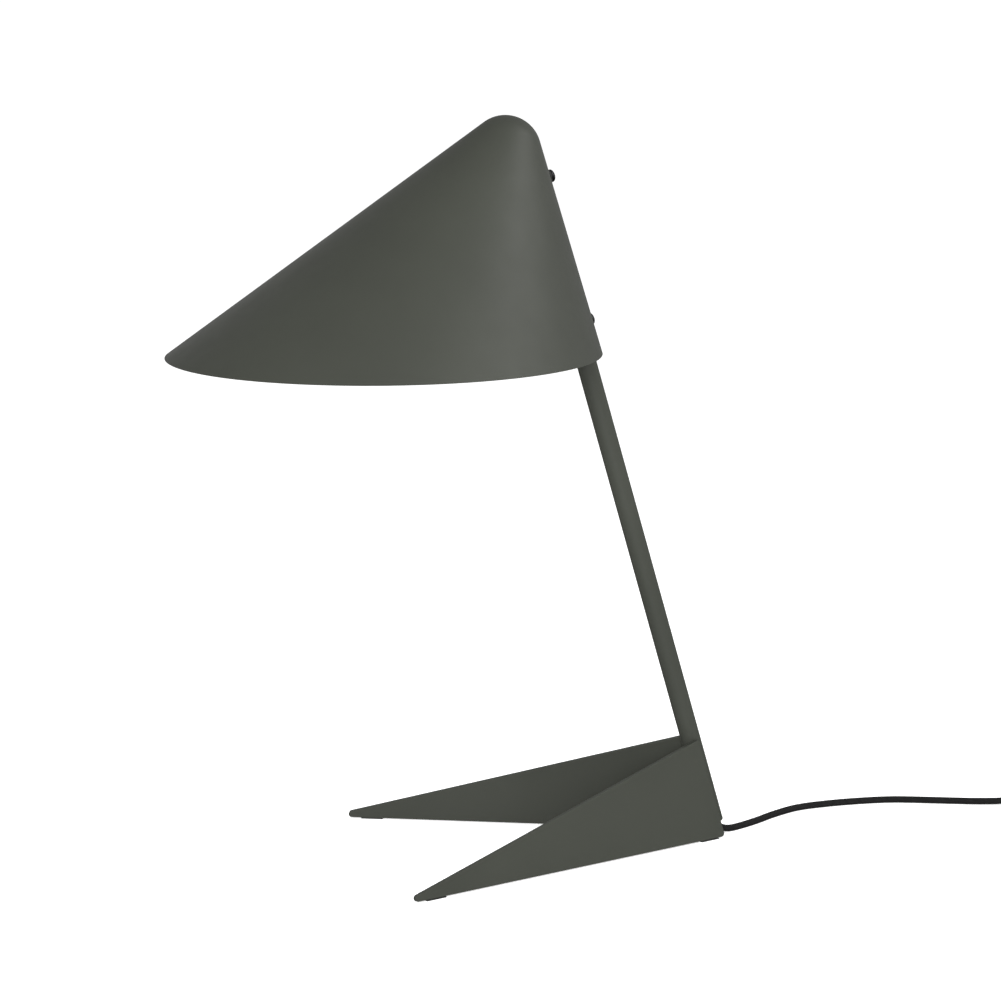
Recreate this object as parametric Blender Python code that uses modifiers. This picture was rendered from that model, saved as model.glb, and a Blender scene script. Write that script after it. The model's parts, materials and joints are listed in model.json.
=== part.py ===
"""Desk lamp: a sheet-metal cone hood on a leaning tube stem, with two splayed leg plates.

Units are metres and +Z is up. The lamp faces -X, and its own left is -Y. The origin is on
the surface that the lamp stands on, under the middle of its outline. Two directions are used
throughout: along the stem's axis, and square to it towards the lamp's back.
"""

import math

import bmesh
import bpy
from mathutils import Matrix, Vector

# ---------------------------------------------------------------- driving dimensions
GAP = 0.0003  # left between pieces that touch

STEM_FOOT_X = 0.2189  # where the stem's axis would meet the floor
STEM_LEAN = math.radians(16.0)
STEM_RADIUS = 0.008
STEM_WALL = 0.0015
STEM_START = 0.0119  # distances along the stem's axis from the floor
STEM_END = 0.575

HOOD_HALF_ANGLE = math.radians(35.3)
HOOD_APEX = 0.6232  # the cone's sharp apex, measured up the stem
HOOD_BACK = 0.01067  # from the stem's axis to the outside of the hood's back
HOOD_NOSE_RADIUS = 0.0278
HOOD_WALL = 0.0010
HOOD_LONGEST_RADIUS = 0.205
MOUTH_HEIGHT = 0.4024

UPPER_SCREW = 0.555
LOWER_SCREW = 0.438
SCREW_HEAD_RADIUS = 0.0051
SCREW_HEAD_HEIGHT = 0.0036
SCREW_SHANK_RADIUS = 0.0023
SCREW_HOLE_RADIUS = 0.0028
WASHER_THICKNESS = 0.0009
INSERT_RADIUS = 0.0034
INSERT_FLANGE_RADIUS = 0.0050

LEG_SPLAY = math.radians(21.5)
LEG_THICKNESS = 0.004
LEG_REACH = 0.2945  # from the stem's foot to the sharp point of the toe, along X
LEG_BEHIND = 0.0028  # how far the back edge stands behind the stem's axis
LEG_HEIGHT = 0.0828
LEG_CLEARANCE = 0.0013  # from the floor to the plate
TOE_RADIUS = 0.0026
HEEL_RADIUS = 0.0026
LEG_TOP_RADIUS = 0.0010
PAD_LENGTH = 0.018
PAD_WIDTH = 0.0036
PAD_THICKNESS = 0.0008
TOE_PAD_BACK = 0.036  # from the sharp toe to the middle of the pad
HEEL_PAD_AHEAD = 0.015

HOLDER_HEIGHT = 0.505  # where the holder's axis crosses the stem's
BOSS_RADIUS = 0.0075
NIPPLE_RADIUS = 0.005
NIPPLE_BORE = 0.0035
HOLDER_RADIUS = 0.0135
HOLDER_WALL = 0.0018
GLOBE_RADIUS = 0.0225
GLOBE_NECK_RADIUS = 0.013
GLOBE_WALL = 0.0010

CORD_RADIUS = 0.0028
CORE_RADIUS = 0.0011
BUSH_TOP = 0.034
INNER_LEAD_BACK = -0.0024  # the inner lead runs ahead of the threaded inserts
INNER_LEAD_END = 0.484

# The free cord lies in world coordinates, from inside the stem to the in-line switch.
LAMP_CORD_ROUTE = [
    (0.2096, 0.0, 0.0324),
    (0.2114, 0.0, 0.0262),
    (0.2135, 0.0, 0.0190),
    (0.2167, 0.0004, 0.0111),
    (0.2222, 0.0020, 0.0054),
    (0.2300, 0.0044, 0.0030),
    (0.2420, 0.0098, 0.0028),
    (0.2590, 0.0203, 0.0028),
    (0.2800, 0.0355, 0.0028),
    (0.3050, 0.0490, 0.0028),
    (0.3330, 0.0540, 0.0028),
    (0.3620, 0.0550, 0.0028),
    (0.3890, 0.0525, 0.0028),
    (0.4130, 0.0450, 0.0028),
    (0.4350, 0.0370, 0.0028),
    (0.4560, 0.0296, 0.0029),
    (0.4760, 0.0220, 0.0040),
    (0.4900, 0.0161, 0.0066),
    (0.4999, 0.0119, 0.0083),
]
TAIL_START = (0.4760, 0.0220)  # a point on the cord from which the stored length is laid out
TAIL_ANGLE = math.radians(-22.9)  # the way the stored length runs from there
SWITCH_AHEAD = 0.073  # to the middle of the switch
COIL_AHEAD = 0.167
COIL_SIDE = -0.0356  # the cord runs onto the coil's outermost turn
COIL_MEAN_RADIUS = 0.030
COIL_HALF_WIDTH = 0.0084
COIL_BOTTOM = 0.0016
COIL_TOP = 0.0227  # four layers of turns
TIE_WIDTH = 0.010
TIE_THICKNESS = 0.0010
PLUG_AHEAD = 0.082
PLUG_SIDE = 2.0 * COIL_SIDE
# The two short runs beside the coil lie in the tail's frame: into the coil, and off its top layer.
COIL_CORD_ROUTE = [
    (0.0960, 0.0, 0.0085),
    (0.1200, 0.0, 0.0085),
    (0.1320, 0.0, 0.0073),
    (0.1462, 0.0, 0.0044),
]
PLUG_CORD_ROUTE = [
    (0.1462, PLUG_SIDE, 0.0144),
    (0.1335, PLUG_SIDE, 0.0094),
    (0.1200, PLUG_SIDE, 0.0069),
    (0.0960, PLUG_SIDE, 0.0069),
]

SWITCH_LENGTH = 0.054
SWITCH_WIDTH = 0.025
SWITCH_HEIGHT = 0.017
SWITCH_WALL = 0.0018
ROCKER_LENGTH = 0.0165
ROCKER_WIDTH = 0.0090
ROCKER_TILT = math.radians(9.0)
ROCKER_PIVOT_HEIGHT = 0.0135
RELIEF_LENGTH = 0.020

PLUG_LENGTH = 0.036
PLUG_WIDTH = 0.0345
PLUG_HEIGHT = 0.0138
PIN_RADIUS = 0.0020
PIN_LENGTH = 0.019
PIN_SPACING = 0.0186

ROUND_STEPS = 24
FINE_STEPS = 64

# ---------------------------------------------------------------- an empty scene
for leftover in list(bpy.data.objects):
    bpy.data.objects.remove(leftover, do_unlink=True)

PARTS = bpy.data.collections.new("desk_lamp")
CUTTERS = bpy.data.collections.new("cutters")
bpy.context.scene.collection.children.link(PARTS)
bpy.context.scene.collection.children.link(CUTTERS)

# name: colour, roughness, metallic
LOOKS = {
    "green_paint": ((0.075, 0.081, 0.064), 0.50, 0.0),
    "black_steel": ((0.012, 0.012, 0.013), 0.40, 0.6),
    "zinc": ((0.62, 0.62, 0.60), 0.35, 1.0),
    "brass": ((0.70, 0.50, 0.22), 0.32, 1.0),
    "black_rubber": ((0.020, 0.020, 0.020), 0.80, 0.0),
    "black_plastic": ((0.018, 0.018, 0.019), 0.45, 0.0),
    "white_plastic": ((0.80, 0.80, 0.78), 0.45, 0.0),
    "ceramic": ((0.78, 0.76, 0.70), 0.40, 0.0),
    "opal_glass": ((0.90, 0.90, 0.88), 0.30, 0.0),
    "black_textile": ((0.020, 0.020, 0.020), 0.90, 0.0),
    "copper_core": ((0.10, 0.14, 0.30), 0.55, 0.0),
}


def new_material(name, look):
    """A Principled material of the piece's own."""
    colour, roughness, metallic = LOOKS[look]
    material = bpy.data.materials.new(name)
    material.use_nodes = True
    shader = material.node_tree.nodes["Principled BSDF"]
    shader.inputs["Base Color"].default_value = (*colour, 1.0)
    shader.inputs["Roughness"].default_value = roughness
    shader.inputs["Metallic"].default_value = metallic
    material.diffuse_color = (*colour, 1.0)
    return material


# ---------------------------------------------------------------- places
def moved(x=0.0, y=0.0, z=0.0):
    """A shift."""
    return Matrix.Translation((x, y, z))


def turned_about(axis, angle):
    """A turn about one axis."""
    return Matrix.Rotation(angle, 4, axis)


FOOT = Vector((STEM_FOOT_X, 0.0, 0.0))
# Stem frame: X towards the back and square to the stem, Y to the right, Z up the stem.
STEM = Matrix.Translation(FOOT) @ turned_about("Y", -STEM_LEAN)
# Holder frame: Z along the holder, forward from the stem's axis, X up the stem.
HOLDER = STEM @ moved(z=HOLDER_HEIGHT) @ turned_about("Y", math.radians(-90.0))
# Tail frame: on the floor, X the way the stored cord runs, Y to its left.
TAIL = Matrix.Translation((*TAIL_START, 0.0)) @ turned_about("Z", TAIL_ANGLE)
SWITCH = TAIL @ moved(x=SWITCH_AHEAD)
COIL = TAIL @ moved(x=COIL_AHEAD, y=COIL_SIDE)
# The plug's frame has X out of its pins, back towards the lamp.
PLUG = TAIL @ moved(x=PLUG_AHEAD, y=PLUG_SIDE) @ turned_about("Z", math.pi)


def screw_place(height):
    """Z out of the hood's back, from the stem's axis at this height up the stem."""
    return STEM @ moved(z=height) @ turned_about("Y", math.radians(90.0))


# ---------------------------------------------------------------- shape helpers
def add_object(name, data, place, look):
    """Links a mesh or curve as a piece, with a material of its own."""
    data.materials.append(new_material(name, look))
    piece = bpy.data.objects.new(name, data)
    piece.matrix_world = place
    PARTS.objects.link(piece)
    return piece


def smooth(piece, angle=40.0):
    """Shades a round piece smooth, with its edges sharp."""
    piece.data.shade_smooth()
    piece.data.set_sharp_from_angle(angle=math.radians(angle))


def profile_mesh(name, profile, closed):
    """The half section of a turned piece, as a line in the XZ plane."""
    mesh = bpy.data.meshes.new(name)
    lines = bmesh.new()
    corners = [lines.verts.new((radius, 0.0, height)) for radius, height in profile]
    for first, second in zip(corners, corners[1:]):
        lines.edges.new((first, second))
    if closed:
        lines.edges.new((corners[-1], corners[0]))
    lines.to_mesh(mesh)
    lines.free()
    return mesh


def turn_profile(piece, steps):
    """Turns the half section about the piece's own Z axis."""
    turn = piece.modifiers.new("turn", "SCREW")
    turn.axis = "Z"
    turn.angle = 2.0 * math.pi
    turn.steps = steps
    turn.render_steps = steps
    turn.use_merge_vertices = True
    turn.merge_threshold = 0.00001
    return turn


def turned(name, profile, place, look, steps=ROUND_STEPS):
    """A solid of revolution: the profile runs from the axis, down the outside, to the axis."""
    piece = add_object(name, profile_mesh(name, profile, False), place, look)
    turn_profile(piece, steps)
    return piece


def ring(name, profile, place, look, steps=ROUND_STEPS):
    """A turned piece with a bore: a closed section that runs down its outer side first."""
    piece = add_object(name, profile_mesh(name, profile, True), place, look)
    turn_profile(piece, steps)
    return piece


def sleeve(name, outer, inner, low, high, place, look, steps=ROUND_STEPS):
    """A plain tube along Z."""
    section = [(outer, high), (outer, low), (inner, low), (inner, high)]
    return ring(name, section, place, look, steps)


def block(name, size, place, look, bevel=0.0, segments=2):
    """A box centred on its place, with its edges rounded."""
    mesh = bpy.data.meshes.new(name)
    cube = bmesh.new()
    bmesh.ops.create_cube(cube, size=1.0)
    bmesh.ops.scale(cube, vec=size, verts=cube.verts)
    cube.to_mesh(mesh)
    cube.free()
    piece = add_object(name, mesh, place, look)
    if bevel:
        rounding = piece.modifiers.new("round", "BEVEL")
        rounding.width = bevel
        rounding.segments = segments
    return piece


def prism(name, radius, low, high, place, look, sides=6):
    """A prism or rod along Z between two heights."""
    mesh = bpy.data.meshes.new(name)
    shape = bmesh.new()
    bmesh.ops.create_cone(
        shape, cap_ends=True, segments=sides, radius1=radius, radius2=radius, depth=high - low
    )
    bmesh.ops.translate(shape, vec=(0.0, 0.0, (low + high) / 2.0), verts=shape.verts)
    shape.to_mesh(mesh)
    shape.free()
    return add_object(name, mesh, place, look)


def as_cutter(piece):
    """Takes a shape out of the parts and keeps it as a cutter."""
    PARTS.objects.unlink(piece)
    CUTTERS.objects.link(piece)
    piece.hide_render = True
    piece.display_type = "WIRE"
    return piece


def rod_cutter(name, radius, low, high, place, sides=ROUND_STEPS):
    """A round cutter along Z between two heights."""
    return as_cutter(prism(name, radius, low, high, place, "zinc", sides))


def box_cutter(name, size, place, bevel=0.0):
    """A box cutter centred on its place."""
    return as_cutter(block(name, size, place, "zinc", bevel))


def cut(piece, cutter):
    """Takes the cutter's volume out of a piece."""
    boolean = piece.modifiers.new("cut_" + cutter.name, "BOOLEAN")
    boolean.operation = "DIFFERENCE"
    boolean.solver = "EXACT"
    boolean.object = cutter


def arc(centre, radius, start, end, steps):
    """Points of an arc in a plane, from one angle to another, in degrees."""
    points = []
    for step in range(steps + 1):
        angle = math.radians(start + (end - start) * step / steps)
        points.append((centre[0] + radius * math.cos(angle), centre[1] + radius * math.sin(angle)))
    return points


def rounded_outline(corners, radii, steps=5):
    """A closed outline with an arc at each corner."""
    outline = []
    count = len(corners)
    for index, radius in enumerate(radii):
        corner = Vector(corners[index])
        to_last = (Vector(corners[index - 1]) - corner).normalized()
        to_next = (Vector(corners[(index + 1) % count]) - corner).normalized()
        half = to_last.angle(to_next) / 2.0
        middle = corner + (to_last + to_next).normalized() * radius / math.sin(half)
        first = corner + to_last * radius / math.tan(half) - middle
        last = corner + to_next * radius / math.tan(half) - middle
        sweep = first.angle_signed(last)
        for step in range(steps + 1):
            turn = Matrix.Rotation(-sweep * step / steps, 2)
            outline.append(tuple(middle + turn @ first))
    return outline


def flat_plate(name, outline, thickness, place, look):
    """A flat outline in the XY plane, with half its thickness on each side."""
    curve = bpy.data.curves.new(name, "CURVE")
    curve.dimensions = "2D"
    curve.fill_mode = "BOTH"
    curve.extrude = thickness / 2.0
    spline = curve.splines.new("POLY")
    spline.points.add(len(outline) - 1)
    for point, (x, y) in zip(spline.points, outline):
        point.co = (x, y, 0.0, 1.0)
    spline.use_cyclic_u = True
    return add_object(name, curve, place, look)


def smooth_route(points, spacing):
    """Evenly spaced points on a smooth curve through the route's own points."""
    knots = [Vector(point) for point in points]
    padded = [knots[0] * 2.0 - knots[1], *knots, knots[-1] * 2.0 - knots[-2]]
    fine = []
    for index in range(1, len(padded) - 2):
        before, start, end, after = padded[index - 1 : index + 3]
        reach = (end - start).length
        leave = (end - before) * reach / ((start - before).length + reach)
        arrive = (after - start) * reach / ((after - end).length + reach)
        for step in range(24):
            t = step / 24.0
            fine.append(
                start * (2.0 * t**3 - 3.0 * t**2 + 1.0)
                + leave * (t**3 - 2.0 * t**2 + t)
                + end * (3.0 * t**2 - 2.0 * t**3)
                + arrive * (t**3 - t**2)
            )
    fine.append(knots[-1])
    total = sum((b - a).length for a, b in zip(fine, fine[1:]))
    count = max(2, round(total / spacing))
    even = [fine[0]]
    travelled = 0.0
    for first, second in zip(fine, fine[1:]):
        length = (second - first).length
        while travelled + length >= total * len(even) / count and len(even) < count:
            share = (total * len(even) / count - travelled) / length
            even.append(first.lerp(second, share))
        travelled += length
    even.append(fine[-1])
    return even


def round_cord(name, points, radius, look, place=None, spacing=None, resolution=2):
    """A cord, core or wire along a smooth curve."""
    curve = bpy.data.curves.new(name, "CURVE")
    curve.dimensions = "3D"
    curve.bevel_depth = radius
    curve.bevel_resolution = resolution
    curve.use_fill_caps = True
    path = smooth_route(points, spacing or radius * 5.0)
    spline = curve.splines.new("POLY")
    spline.points.add(len(path) - 1)
    for point, position in zip(spline.points, path):
        point.co = (*position, 1.0)
    return add_object(name, curve, place or Matrix.Identity(4), look)


# ---------------------------------------------------------------- hood
def make_hood():
    """The cone with its rounded nose, walled inwards and cut level at the mouth."""
    axis_lean = HOOD_HALF_ANGLE - STEM_LEAN
    apex = STEM @ Vector((HOOD_BACK, 0.0, HOOD_APEX))
    place = Matrix.Translation(apex) @ turned_about("Y", axis_lean)
    nose_centre = -HOOD_NOSE_RADIUS / math.sin(HOOD_HALF_ANGLE)
    nose = arc((0.0, nose_centre), HOOD_NOSE_RADIUS, 90.0, math.degrees(HOOD_HALF_ANGLE), 6)
    nose[0] = (0.0, nose_centre + HOOD_NOSE_RADIUS)
    rim = (HOOD_LONGEST_RADIUS, -HOOD_LONGEST_RADIUS / math.tan(HOOD_HALF_ANGLE))
    hood = add_object("hood", profile_mesh("hood", [*nose, rim], False), place, "green_paint")
    turn_profile(hood, FINE_STEPS)
    wall = hood.modifiers.new("wall", "SOLIDIFY")
    wall.thickness = HOOD_WALL
    wall.offset = -1.0
    wall.use_even_offset = True
    level = Matrix.Translation((0.0, 0.0, MOUTH_HEIGHT - 0.2))
    cut(hood, box_cutter("mouth_cutter", (1.2, 1.2, 0.4), level))
    for name, height in (("upper", UPPER_SCREW), ("lower", LOWER_SCREW)):
        place = screw_place(height)
        hole = rod_cutter(name + "_hood_hole", SCREW_HOLE_RADIUS, 0.009, 0.014, place, 16)
        cut(hood, hole)


# ---------------------------------------------------------------- stem
def make_stem():
    """The tube, bored for the threaded inserts and for the holder's wires."""
    inner = STEM_RADIUS - STEM_WALL
    stem = sleeve("stem", STEM_RADIUS, inner, STEM_START, STEM_END, STEM, "green_paint", 32)
    for name, height in (("upper", UPPER_SCREW), ("lower", LOWER_SCREW)):
        radius = INSERT_RADIUS + GAP
        cut(stem, rod_cutter(name + "_insert_hole", radius, 0.004, 0.010, screw_place(height)))
    cut(stem, rod_cutter("wire_hole", NIPPLE_BORE, 0.004, 0.010, HOLDER))


def make_stem_end_cap():
    """A push-in plastic cap that closes the stem's upper end."""
    spigot = STEM_RADIUS - STEM_WALL - GAP
    low = STEM_END - 0.007
    seat = STEM_END + GAP
    profile = [
        (0.0, seat + 0.0012),
        (STEM_RADIUS - 0.0008, seat + 0.0012),
        (STEM_RADIUS - 0.0003, seat),
        (spigot, seat),
        (spigot, low),
        (0.0, low),
    ]
    turned("stem_end_cap", profile, STEM, "black_plastic")


def make_cord_bush():
    """The bell-mouthed bush in the stem's lower end, over which the cord bends."""
    outer = STEM_RADIUS - STEM_WALL - GAP
    throat = CORD_RADIUS + GAP
    bell = [(0.0054, STEM_START + GAP), (0.0044, 0.0150), (0.0036, 0.0195), (throat, 0.0250)]
    section = [(outer, BUSH_TOP), (outer, STEM_START + GAP), *bell, (throat, BUSH_TOP)]
    ring("cord_bush", section, STEM, "black_plastic")


def make_hood_screws():
    """The two screws, with their washers and the threaded inserts in the stem."""
    washer_low = HOOD_BACK + GAP
    washer_high = washer_low + WASHER_THICKNESS
    head_low = washer_high + GAP
    head_high = head_low + SCREW_HEAD_HEIGHT
    dome = arc((0.0, head_low), SCREW_HEAD_RADIUS, 90.0, 10.0, 6)
    squash = SCREW_HEAD_HEIGHT / SCREW_HEAD_RADIUS
    crown = [(radius, head_low + (height - head_low) * squash) for radius, height in dome]
    crown[0] = (0.0, head_high)
    flange_low = STEM_RADIUS + GAP
    for name, height in (("upper", UPPER_SCREW), ("lower", LOWER_SCREW)):
        place = screw_place(height)
        profile = [
            *crown,
            (SCREW_HEAD_RADIUS, head_low),
            (SCREW_SHANK_RADIUS, head_low),
            (SCREW_SHANK_RADIUS, 0.0026),
            (0.0, 0.0026),
        ]
        screw = turned(name + "_hood_screw", profile, place, "black_steel", 20)
        key = prism(name + "_key_socket", 0.00175, head_high - 0.0022, head_high + 0.002, place, "zinc")
        cut(screw, as_cutter(key))
        bore = SCREW_SHANK_RADIUS + GAP
        sleeve(
            name + "_hood_washer",
            SCREW_HEAD_RADIUS + 0.0002,
            bore,
            washer_low,
            washer_high,
            place,
            "black_rubber",
            20,
        )
        section = [
            (INSERT_FLANGE_RADIUS, flange_low + 0.0008),
            (INSERT_FLANGE_RADIUS, flange_low),
            (INSERT_RADIUS, flange_low),
            (INSERT_RADIUS, 0.0015),
            (bore, 0.0015),
            (bore, flange_low + 0.0008),
        ]
        ring(name + "_threaded_insert", section, place, "zinc", 20)


# ---------------------------------------------------------------- legs
def leg_frame(side):
    """The plate's middle plane: X to the toe, Y up the plate. side is -1 left, +1 right."""
    to_toe = Vector((-math.cos(LEG_SPLAY), side * math.sin(LEG_SPLAY), 0.0))
    up_stem = STEM.to_3x3() @ Vector((0.0, 0.0, 1.0))
    outward = up_stem.cross(to_toe).normalized()
    if outward.y * side < 0.0:
        outward.negate()
    up_plate = to_toe.cross(outward)
    if up_plate.z < 0.0:
        up_plate.negate()
    origin = FOOT + outward * (STEM_RADIUS + GAP + LEG_THICKNESS / 2.0)
    third = to_toe.cross(up_plate)
    frame = Matrix((to_toe, up_plate, third)).transposed().to_4x4()
    return Matrix.Translation(origin) @ frame


def on_leg(frame, x, height):
    """The point of the plate's plane at this place along X and this height."""
    local_y = (height - frame.translation.z) / frame.col[1].z
    local_x = (x - frame.translation.x - frame.col[1].x * local_y) / frame.col[0].x
    return (local_x, local_y)


def make_leg(name, side):
    """One leg plate and its two foot pads."""
    frame = leg_frame(side)
    lean = math.tan(STEM_LEAN)
    heel_x = STEM_FOOT_X + LEG_BEHIND - LEG_CLEARANCE * lean
    top_x = STEM_FOOT_X + LEG_BEHIND - LEG_HEIGHT * lean
    toe_x = STEM_FOOT_X - LEG_REACH
    heel = on_leg(frame, heel_x, LEG_CLEARANCE)
    top = on_leg(frame, top_x, LEG_HEIGHT)
    toe = on_leg(frame, toe_x, LEG_CLEARANCE)
    outline = rounded_outline([heel, top, toe], [HEEL_RADIUS, LEG_TOP_RADIUS, TOE_RADIUS])
    flat_plate(name + "_leg", outline, LEG_THICKNESS, frame, "green_paint")
    for end, along in (("toe", toe[0] - TOE_PAD_BACK), ("heel", heel[0] + HEEL_PAD_AHEAD)):
        middle = frame @ Vector((along, heel[1], 0.0))
        middle.z = PAD_THICKNESS / 2.0
        heading = math.atan2(frame.col[0].y, frame.col[0].x)
        place = Matrix.Translation(middle) @ turned_about("Z", heading)
        size = (PAD_LENGTH, PAD_WIDTH, PAD_THICKNESS)
        block(name + "_" + end + "_pad", size, place, "black_rubber")


# ---------------------------------------------------------------- lamp holder and bulb
def make_holder_mount():
    """The boss on the stem, the hollow threaded nipple and its lock nut."""
    boss_end = 0.014
    bore = NIPPLE_RADIUS + GAP
    boss = sleeve("holder_boss", BOSS_RADIUS, bore, 0.004, boss_end, HOLDER, "green_paint")
    clear = STEM_RADIUS + GAP
    saddle = rod_cutter("boss_saddle", clear, HOLDER_HEIGHT - 0.02, HOLDER_HEIGHT + 0.02, STEM, 48)
    cut(boss, saddle)
    sleeve("holder_nipple", NIPPLE_RADIUS, NIPPLE_BORE, clear, 0.024, HOLDER, "brass")
    nut_low = boss_end + GAP
    nut = prism("nipple_lock_nut", 0.0081, nut_low, nut_low + 0.003, HOLDER, "zinc")
    cut(nut, rod_cutter("lock_nut_bore", bore, nut_low - 0.002, nut_low + 0.006, HOLDER))


def make_holder():
    """The lamp holder, from its threaded cap to its contacts."""
    bore = NIPPLE_RADIUS + GAP
    inner = HOLDER_RADIUS - HOLDER_WALL
    cap = [
        (HOLDER_RADIUS, 0.0290),
        (0.0075, 0.0235),
        (0.0075, 0.0176),
        (bore, 0.0176),
        (bore, 0.0235),
        (inner, 0.0305),
        (inner, 0.0380),
        (HOLDER_RADIUS, 0.0380),
    ]
    ring("holder_cap", cap, HOLDER, "black_plastic")
    skirt = [(HOLDER_RADIUS, 0.0660), (HOLDER_RADIUS, 0.0383), (inner, 0.0383), (inner, 0.0660)]
    ring("holder_skirt", skirt, HOLDER, "black_plastic")
    core = [(0.0, 0.0440), (inner - GAP, 0.0440), (inner - GAP, 0.0330), (0.0, 0.0330)]
    turned("holder_core", core, HOLDER, "ceramic")
    shell = [(0.0078, 0.0600), (0.0078, 0.0443), (0.0073, 0.0443), (0.0073, 0.0600)]
    ring("screw_shell_contact", shell, HOLDER, "brass")
    block("centre_contact", (0.0080, 0.0030, 0.0006), HOLDER @ moved(z=0.0447), "brass")
    for name, side in (("live", -1.0), ("neutral", 1.0)):
        place = HOLDER @ moved(y=side * 0.0082, z=0.0313)
        block(name + "_terminal", (0.0050, 0.0036, 0.0026), place, "brass")


def make_bulb():
    """A small round bulb with an opal globe, which screws into the holder."""
    eyelet = [(0.0, 0.0466), (0.0024, 0.0466), (0.0018, 0.0454), (0.0, 0.0454)]
    turned("bulb_eyelet", eyelet, HOLDER, "zinc", 16)
    insulator = [(0.0, 0.0495), (0.0058, 0.0495), (0.0030, 0.0469), (0.0, 0.0469)]
    turned("bulb_insulator", insulator, HOLDER, "black_plastic", 20)
    cap = [(0.0068, 0.0665), (0.0068, 0.0498), (0.0062, 0.0498), (0.0062, 0.0665)]
    ring("bulb_screw_cap", cap, HOLDER, "zinc")
    collar = [
        (0.0, 0.0800),
        (0.0138, 0.0800),
        (0.0125, 0.0745),
        (0.0085, 0.0668),
        (0.0, 0.0668),
    ]
    turned("bulb_collar", collar, HOLDER, "white_plastic")
    plate = [(0.0, 0.0815), (0.0112, 0.0815), (0.0112, 0.0803), (0.0, 0.0803)]
    turned("bulb_led_plate", plate, HOLDER, "ceramic")
    neck_angle = math.degrees(math.asin(GLOBE_NECK_RADIUS / GLOBE_RADIUS))
    centre = (0.0, 0.0803 + GLOBE_RADIUS * math.cos(math.radians(neck_angle)))
    outside = arc(centre, GLOBE_RADIUS, 90.0, -90.0 + neck_angle, 10)
    inside = arc(centre, GLOBE_RADIUS - GLOBE_WALL, -90.0 + neck_angle, 90.0, 10)
    outside[0] = (0.0, outside[0][1])
    inside[-1] = (0.0, inside[-1][1])
    turned("bulb_globe", [*outside, *inside], HOLDER, "opal_glass")


# ---------------------------------------------------------------- inner wiring
def make_inner_lead():
    """The lead inside the stem, and its two cores out through the nipple to the terminals."""
    low = BUSH_TOP + GAP
    route = [
        (0.0, 0.0, low),
        (0.0, 0.0, low + 0.012),
        (INNER_LEAD_BACK, 0.0, low + 0.060),
        (INNER_LEAD_BACK, 0.0, 0.250),
        (INNER_LEAD_BACK, 0.0, INNER_LEAD_END),
    ]
    round_cord("inner_lead", route, CORD_RADIUS, "black_textile", STEM, 0.03)
    start = INNER_LEAD_END + GAP
    bend = 0.010
    for name, side in (("live", -1.0), ("neutral", 1.0)):
        offset = side * (CORE_RADIUS + GAP)
        turn = arc((-bend, HOLDER_HEIGHT - bend), bend, 0.0, 90.0, 4)
        corner = [(back, offset, height) for back, height in turn]
        route = [
            (INNER_LEAD_BACK, offset, start),
            *corner,
            (-0.0180, offset, HOLDER_HEIGHT),
            (-0.0236, side * 0.0015, HOLDER_HEIGHT),
            (-0.0262, side * 0.0036, HOLDER_HEIGHT),
            (-0.0286, side * 0.0068, HOLDER_HEIGHT),
        ]
        round_cord(name + "_core", route, CORE_RADIUS, "copper_core", STEM, 0.003, 1)


# ---------------------------------------------------------------- free cord
def make_free_cord():
    """The cord on the floor, in three runs, and the solid of its coil."""
    round_cord("lamp_cord", LAMP_CORD_ROUTE, CORD_RADIUS, "black_textile", spacing=0.0105)
    round_cord("coil_cord", COIL_CORD_ROUTE, CORD_RADIUS, "black_textile", TAIL, 0.012)
    round_cord("plug_cord", PLUG_CORD_ROUTE, CORD_RADIUS, "black_textile", TAIL, 0.012)
    outer = COIL_MEAN_RADIUS + COIL_HALF_WIDTH
    inner = COIL_MEAN_RADIUS - COIL_HALF_WIDTH
    round_over = 0.003
    section = [
        *arc((outer - round_over, COIL_TOP - round_over), round_over, 90.0, 0.0, 2),
        *arc((outer - round_over, COIL_BOTTOM + round_over), round_over, 0.0, -90.0, 2),
        *arc((inner + round_over, COIL_BOTTOM + round_over), round_over, -90.0, -180.0, 2),
        *arc((inner + round_over, COIL_TOP - round_over), round_over, 180.0, 90.0, 2),
    ]
    ring("cord_coil", section, COIL, "black_textile", 40)


def make_tie():
    """A strap around the coil's turns."""
    inner = COIL_MEAN_RADIUS - COIL_HALF_WIDTH
    sag = inner - math.sqrt(inner**2 - (TIE_WIDTH / 2.0) ** 2)
    height = COIL_TOP - COIL_BOTTOM + 2.0 * (TIE_THICKNESS + GAP)
    width = 2.0 * (COIL_HALF_WIDTH + TIE_THICKNESS + GAP) + sag
    middle = COIL_MEAN_RADIUS - sag / 2.0
    place = COIL @ moved(y=-middle, z=(COIL_TOP + COIL_BOTTOM) / 2.0)
    tie = block("coil_tie", (TIE_WIDTH, width, height), place, "black_textile", 0.0008)
    opening = (TIE_WIDTH * 3.0, width - 2.0 * TIE_THICKNESS, height - 2.0 * TIE_THICKNESS)
    cut(tie, box_cutter("tie_opening", opening, place, 0.0004))


# ---------------------------------------------------------------- in-line switch
def cord_notch(name, place, half_length):
    """A cutter for the cord's way through the switch's or the plug's end walls."""
    across = place @ turned_about("Y", math.radians(90.0))
    return rod_cutter(name, CORD_RADIUS + GAP, -half_length, half_length, across, 20)


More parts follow.
